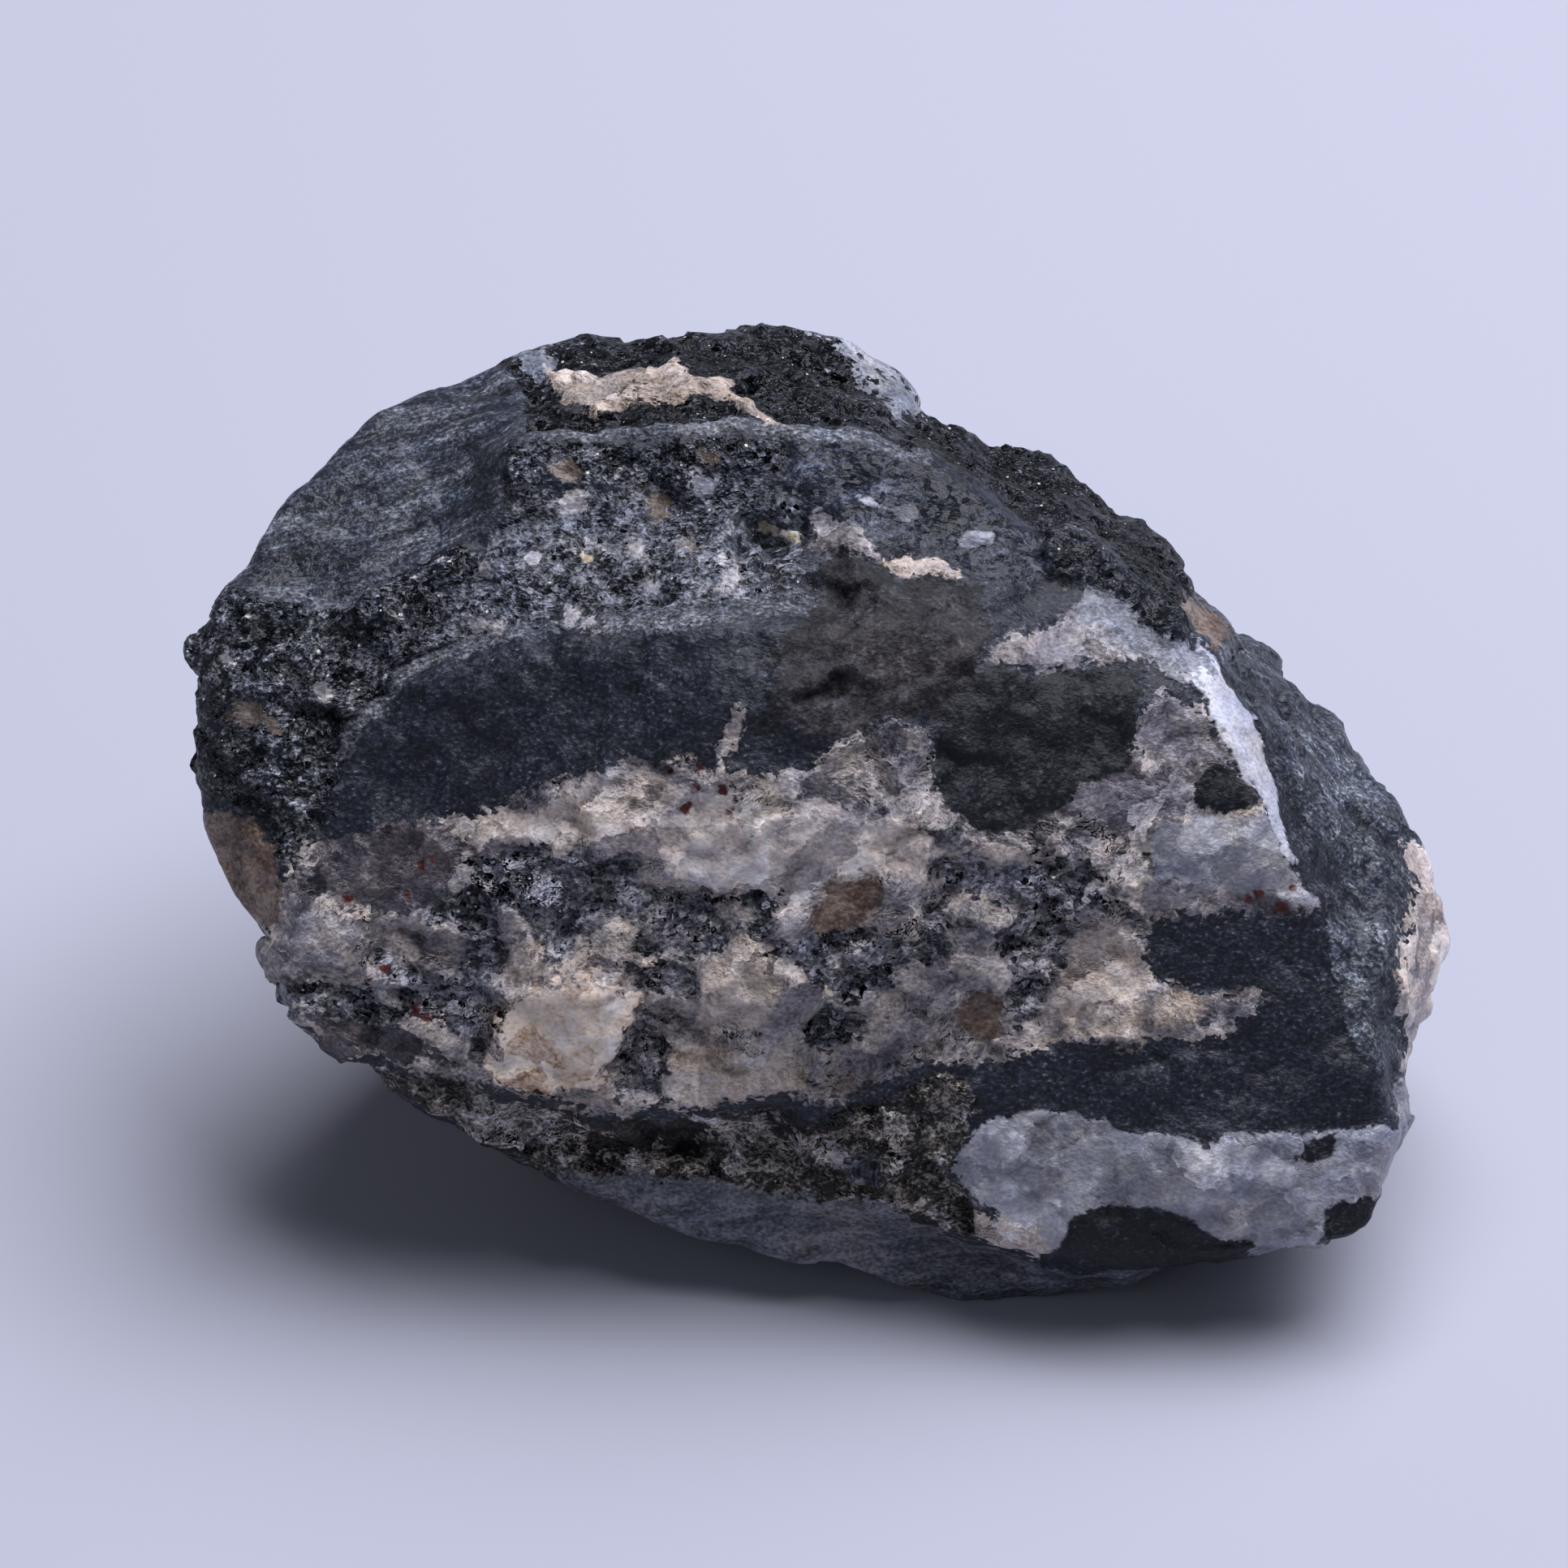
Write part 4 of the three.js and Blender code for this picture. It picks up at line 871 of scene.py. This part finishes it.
# Vein rock, broken and never polished: the schist is dull and near black, the quartz and
# feldspar are pale and glassy in small patches, and single mica flakes flash.
def make_rock(name):
    """Builds the rock's material and returns it."""
    material = bpy.data.materials.new(name)
    material.use_nodes = True
    tree = material.node_tree
    shader = tree.nodes["Principled BSDF"]
    shader.inputs["IOR"].default_value = QUARTZ_IOR
    shader.inputs["Specular IOR Level"].default_value = PITTED_GLOSS
    object_place = add(tree, "ShaderNodeTexCoord").outputs["Object"]
    place = add(
        tree, "ShaderNodeVectorMath", {0: object_place, "Scale": 1 / MM}, operation="SCALE"
    ).outputs[0]

    def stretched(direction, times):
        """The place in the rock, for a pattern drawn out that many times along a direction."""
        along = add(
            tree, "ShaderNodeVectorMath", {0: place, 1: direction}, operation="DOT_PRODUCT"
        )
        less = add(
            tree, "ShaderNodeMath", {0: along.outputs["Value"], 1: 1 / times - 1},
            operation="MULTIPLY",
        )
        shift = add(
            tree, "ShaderNodeVectorMath", {0: direction, "Scale": less.outputs[0]},
            operation="SCALE",
        )
        return add(
            tree, "ShaderNodeVectorMath", {0: place, 1: shift.outputs[0]}, operation="ADD"
        ).outputs[0]

    layers = stretched(LAYERS, DRAWN_OUT["layers"])
    wander = add(
        tree, "ShaderNodeTexNoise",
        {"Vector": layers, "Scale": 1 / CRUMB, "Detail": 1, "Roughness": FINER_CRUMBS},
    )
    fields = {}
    for field, where, size, detail in (
        ("grit", layers, GRIT, 1), ("grain", layers, GRAIN, 3), ("cloud", layers, CLOUD, 5),
        ("streak", stretched(LAYERS, DRAWN_OUT["streak"]), STREAK, 1),
        ("warmth", layers, WARMTH, 2),
        ("shoulder", stretched(SHOULDER_GRAIN, DRAWN_OUT["shoulder"]), WIDE_STREAK, 4),
        ("flank", stretched(FLANK_GRAIN, DRAWN_OUT["flank"]), WIDE_STREAK, 4),
    ):
        speckle = add(
            tree, "ShaderNodeTexNoise",
            {"Vector": where, "Scale": 1 / size, "Detail": detail, "Roughness": FINER_PARTS},
        )
        fields[field] = add(
            tree, "ShaderNodeMapRange",
            {"Value": speckle.outputs["Fac"], "From Min": NOISE_RANGE[0],
             "From Max": NOISE_RANGE[1]},
        ).outputs[0]
    facets, middles = {}, {}
    for field, size, detail, spread in (
        ("flake", FLAKE, 0, FLAKE_SPREAD), ("block", BLOCK, 1, BLOCK_SPREAD)
    ):
        crumbled = add(
            tree, "ShaderNodeVectorMath",
            {0: wander.outputs["Color"], 1: (2 * CRUMBLED[field],) * 3, 2: layers},
            operation="MULTIPLY_ADD",
        )
        cells = add(
            tree, "ShaderNodeTexVoronoi",
            {"Vector": crumbled.outputs[0], "Scale": 1 / size, "Detail": detail,
             "Roughness": SMALLER_BLOCKS},
            normalize=True,
        )
        facets[field], middles[field] = cells.outputs["Color"], cells.outputs["Distance"]
        parts = add(tree, "ShaderNodeSeparateColor", {0: cells.outputs["Color"]})
        fields[field] = add(
            tree, "ShaderNodeMapRange",
            {"Value": parts.outputs[0], "From Min": 0.5 - spread, "From Max": 0.5 + spread},
        ).outputs[0]

    def blend(mix):
        """The textures' sum, in the given shares."""
        total = 0.0
        for field, share in mix.items():
            total = add(
                tree, "ShaderNodeMath", {0: fields[field], 1: share, 2: total},
                operation="MULTIPLY_ADD",
            ).outputs[0]
        return total

    textures = {texture: blend(mix) for texture, mix in TEXTURES.items()}

    def look(mineral):
        """The mineral's colour, its sheen and the depth of its grain."""
        ramp = add(tree, "ShaderNodeValToRGB", {"Fac": textures[mineral["texture"]]})
        stops = ramp.color_ramp.elements
        while len(stops) < len(mineral["tones"]):
            stops.new(0.5)
        for stop, (position, tone) in zip(stops, mineral["tones"]):
            stop.position = position
            stop.color = colour(tone)
        return {"tint": ramp.outputs["Color"], "bite": mineral["bite"],
                "sheen": (mineral["roughness"], mineral["glint"], mineral["facet"], 1)}

    uneven = add(
        tree, "ShaderNodeMath",
        {0: blend(RAGGED), 1: 0.5},
        operation="SUBTRACT",
    ).outputs[0]

    away = {}
    for group in GROUPS:
        three = add(tree, "ShaderNodeAttribute", attribute_name=", ".join(group)).outputs["Vector"]
        away.update(zip(group, add(tree, "ShaderNodeSeparateXYZ", {0: three}).outputs))

    def within(zone, ragged, inner, outer):
        """How far into a zone, from 0 at the outer distance to 1 at the inner; ragged."""
        reach = add(
            tree, "ShaderNodeMath", {0: uneven, 1: ragged, 2: away[zone]},
            operation="MULTIPLY_ADD",
        )
        return add(
            tree, "ShaderNodeMapRange",
            {"Value": reach.outputs[0], "From Min": outer, "From Max": inner},
        ).outputs[0]

    def laid_over(share, below, above):
        """The finish where that share of the one above covers the one below."""
        covered = {}
        for part, value in above.items():
            kind, socket = ("FLOAT", 0) if part == "bite" else ("RGBA", 2)
            covered[part] = add(
                tree, "ShaderNodeMix", {"Factor": share, "A": below[part], "B": value},
                data_type=kind,
            ).outputs[socket]
        return {**below, **covered}

    finish = look(SCHIST)
    for zone, mineral in MINERALS.items():
        share = within(zone, mineral["ragged"], -BORDER, BORDER)
        finish = laid_over(share, finish, look(mineral))
    sheen = add(tree, "ShaderNodeSeparateXYZ", {0: finish["sheen"]}).outputs
    roughness, glint, facet = sheen[0], sheen[1], sheen[2]

    # Iron stains round the feldspar, and cooler and warmer patches everywhere.
    for zone, reach, strength in STAINS:
        stain = laid_over(
            within(zone, 2 * reach, 0, reach), {"tint": (1, 1, 1, 1)}, {"tint": strength}
        )
        finish["tint"] = add(
            tree, "ShaderNodeVectorMath", {0: finish["tint"], 1: stain["tint"]},
            operation="MULTIPLY",
        ).outputs[0]
    hue = laid_over(fields["warmth"], {"tint": COOL}, {"tint": WARM})
    finish["tint"] = add(
        tree, "ShaderNodeVectorMath", {0: finish["tint"], 1: hue["tint"]}, operation="MULTIPLY"
    ).outputs[0]

    # Painted glints: some tiny crystal faces are coloured as bluish or golden highlights.
    chances = add(tree, "ShaderNodeSeparateColor", {0: facets["flake"]})
    least = add(
        tree, "ShaderNodeMath", {0: glint, 1: -PAINTED_GLINT_SHARE, 2: 1.0}, operation="MULTIPLY_ADD"
    )
    chance = add(
        tree, "ShaderNodeMath", {0: chances.outputs[1], 1: middles["flake"]},
        operation="SUBTRACT",
    )
    painted_glint_spots = add(
        tree, "ShaderNodeMath", {0: chance.outputs[0], 1: least.outputs[0]},
        operation="GREATER_THAN",
    )
    painted_glint_tint = laid_over(
        chances.outputs[2], {"tint": colour(PAINTED_GLINT_TINTS[0])}, {"tint": colour(PAINTED_GLINT_TINTS[1])}
    )
    finish = laid_over(painted_glint_spots.outputs[0], finish, painted_glint_tint)

    # Painted shade darkens the hollows, and edges are paler, partly for wear and partly as a
    # painted highlight.
    hollow = add(tree, "ShaderNodeAttribute", attribute_name="edge").outputs["Fac"]
    shade = add(
        tree, "ShaderNodeMapRange",
        {"Value": hollow, "From Min": -1, "From Max": 1,
         "To Min": PAINTED_HOLLOW_SHADE, "To Max": EDGE_WEAR_AND_HIGHLIGHT},
    )
    tint = add(
        tree, "ShaderNodeVectorMath", {0: finish["tint"], "Scale": shade.outputs[0]},
        operation="SCALE",
    ).outputs[0]

    # Each flake and each crystal face turns its own way, and the grains stand out.
    faced = add(tree, "ShaderNodeNewGeometry").outputs["Normal"]
    for field, strength in (("flake", glint), ("block", facet)):
        turn = add(
            tree, "ShaderNodeVectorMath",
            {0: facets[field], 1: (TURN,) * 3, 2: (-TURN / 2,) * 3}, operation="MULTIPLY_ADD",
        )
        turn = add(
            tree, "ShaderNodeVectorMath", {0: turn.outputs[0], "Scale": strength},
            operation="SCALE",
        )
        faced = add(
            tree, "ShaderNodeVectorMath", {0: faced, 1: turn.outputs[0]}, operation="ADD"
        ).outputs[0]
    faced = add(tree, "ShaderNodeVectorMath", {0: faced}, operation="NORMALIZE")
    depth = add(tree, "ShaderNodeMath", {0: finish["bite"], 1: MM}, operation="MULTIPLY")
    normal = add(
        tree, "ShaderNodeBump",
        {"Height": blend(RELIEF), "Distance": depth.outputs[0], "Strength": 1,
         "Normal": faced.outputs[0]},
    )
    tree.links.new(tint, shader.inputs["Base Color"])
    tree.links.new(roughness, shader.inputs["Roughness"])
    tree.links.new(normal.outputs[0], shader.inputs["Normal"])
    return material


rock = make_rock("vein_rock")
mesh = bpy.data.meshes.new("vein_stone")
mesh.from_pydata(points * MM, [], faces)
mesh.polygons.foreach_set("use_smooth", [True] * len(faces))
layer = mesh.attributes.new("edge", "FLOAT", "POINT")
layer.data.foreach_set("value", np.clip(edge, -EDGE_LIMIT, EDGE_LIMIT).astype(np.float32))
for group in GROUPS:
    layer = mesh.attributes.new(", ".join(group), "FLOAT_VECTOR", "POINT")
    three = np.zeros((len(points), 3), np.float32)
    for column, zone in enumerate(group):
        three[:, column] = np.clip(distance[zone], -NEARBY, NEARBY)
    layer.data.foreach_set("vector", three.ravel())
mesh.update()
mesh.materials.append(rock)
stone = bpy.data.objects.new("vein_stone", mesh)
bpy.context.collection.objects.link(stone)
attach(stone, "root")
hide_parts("stone")
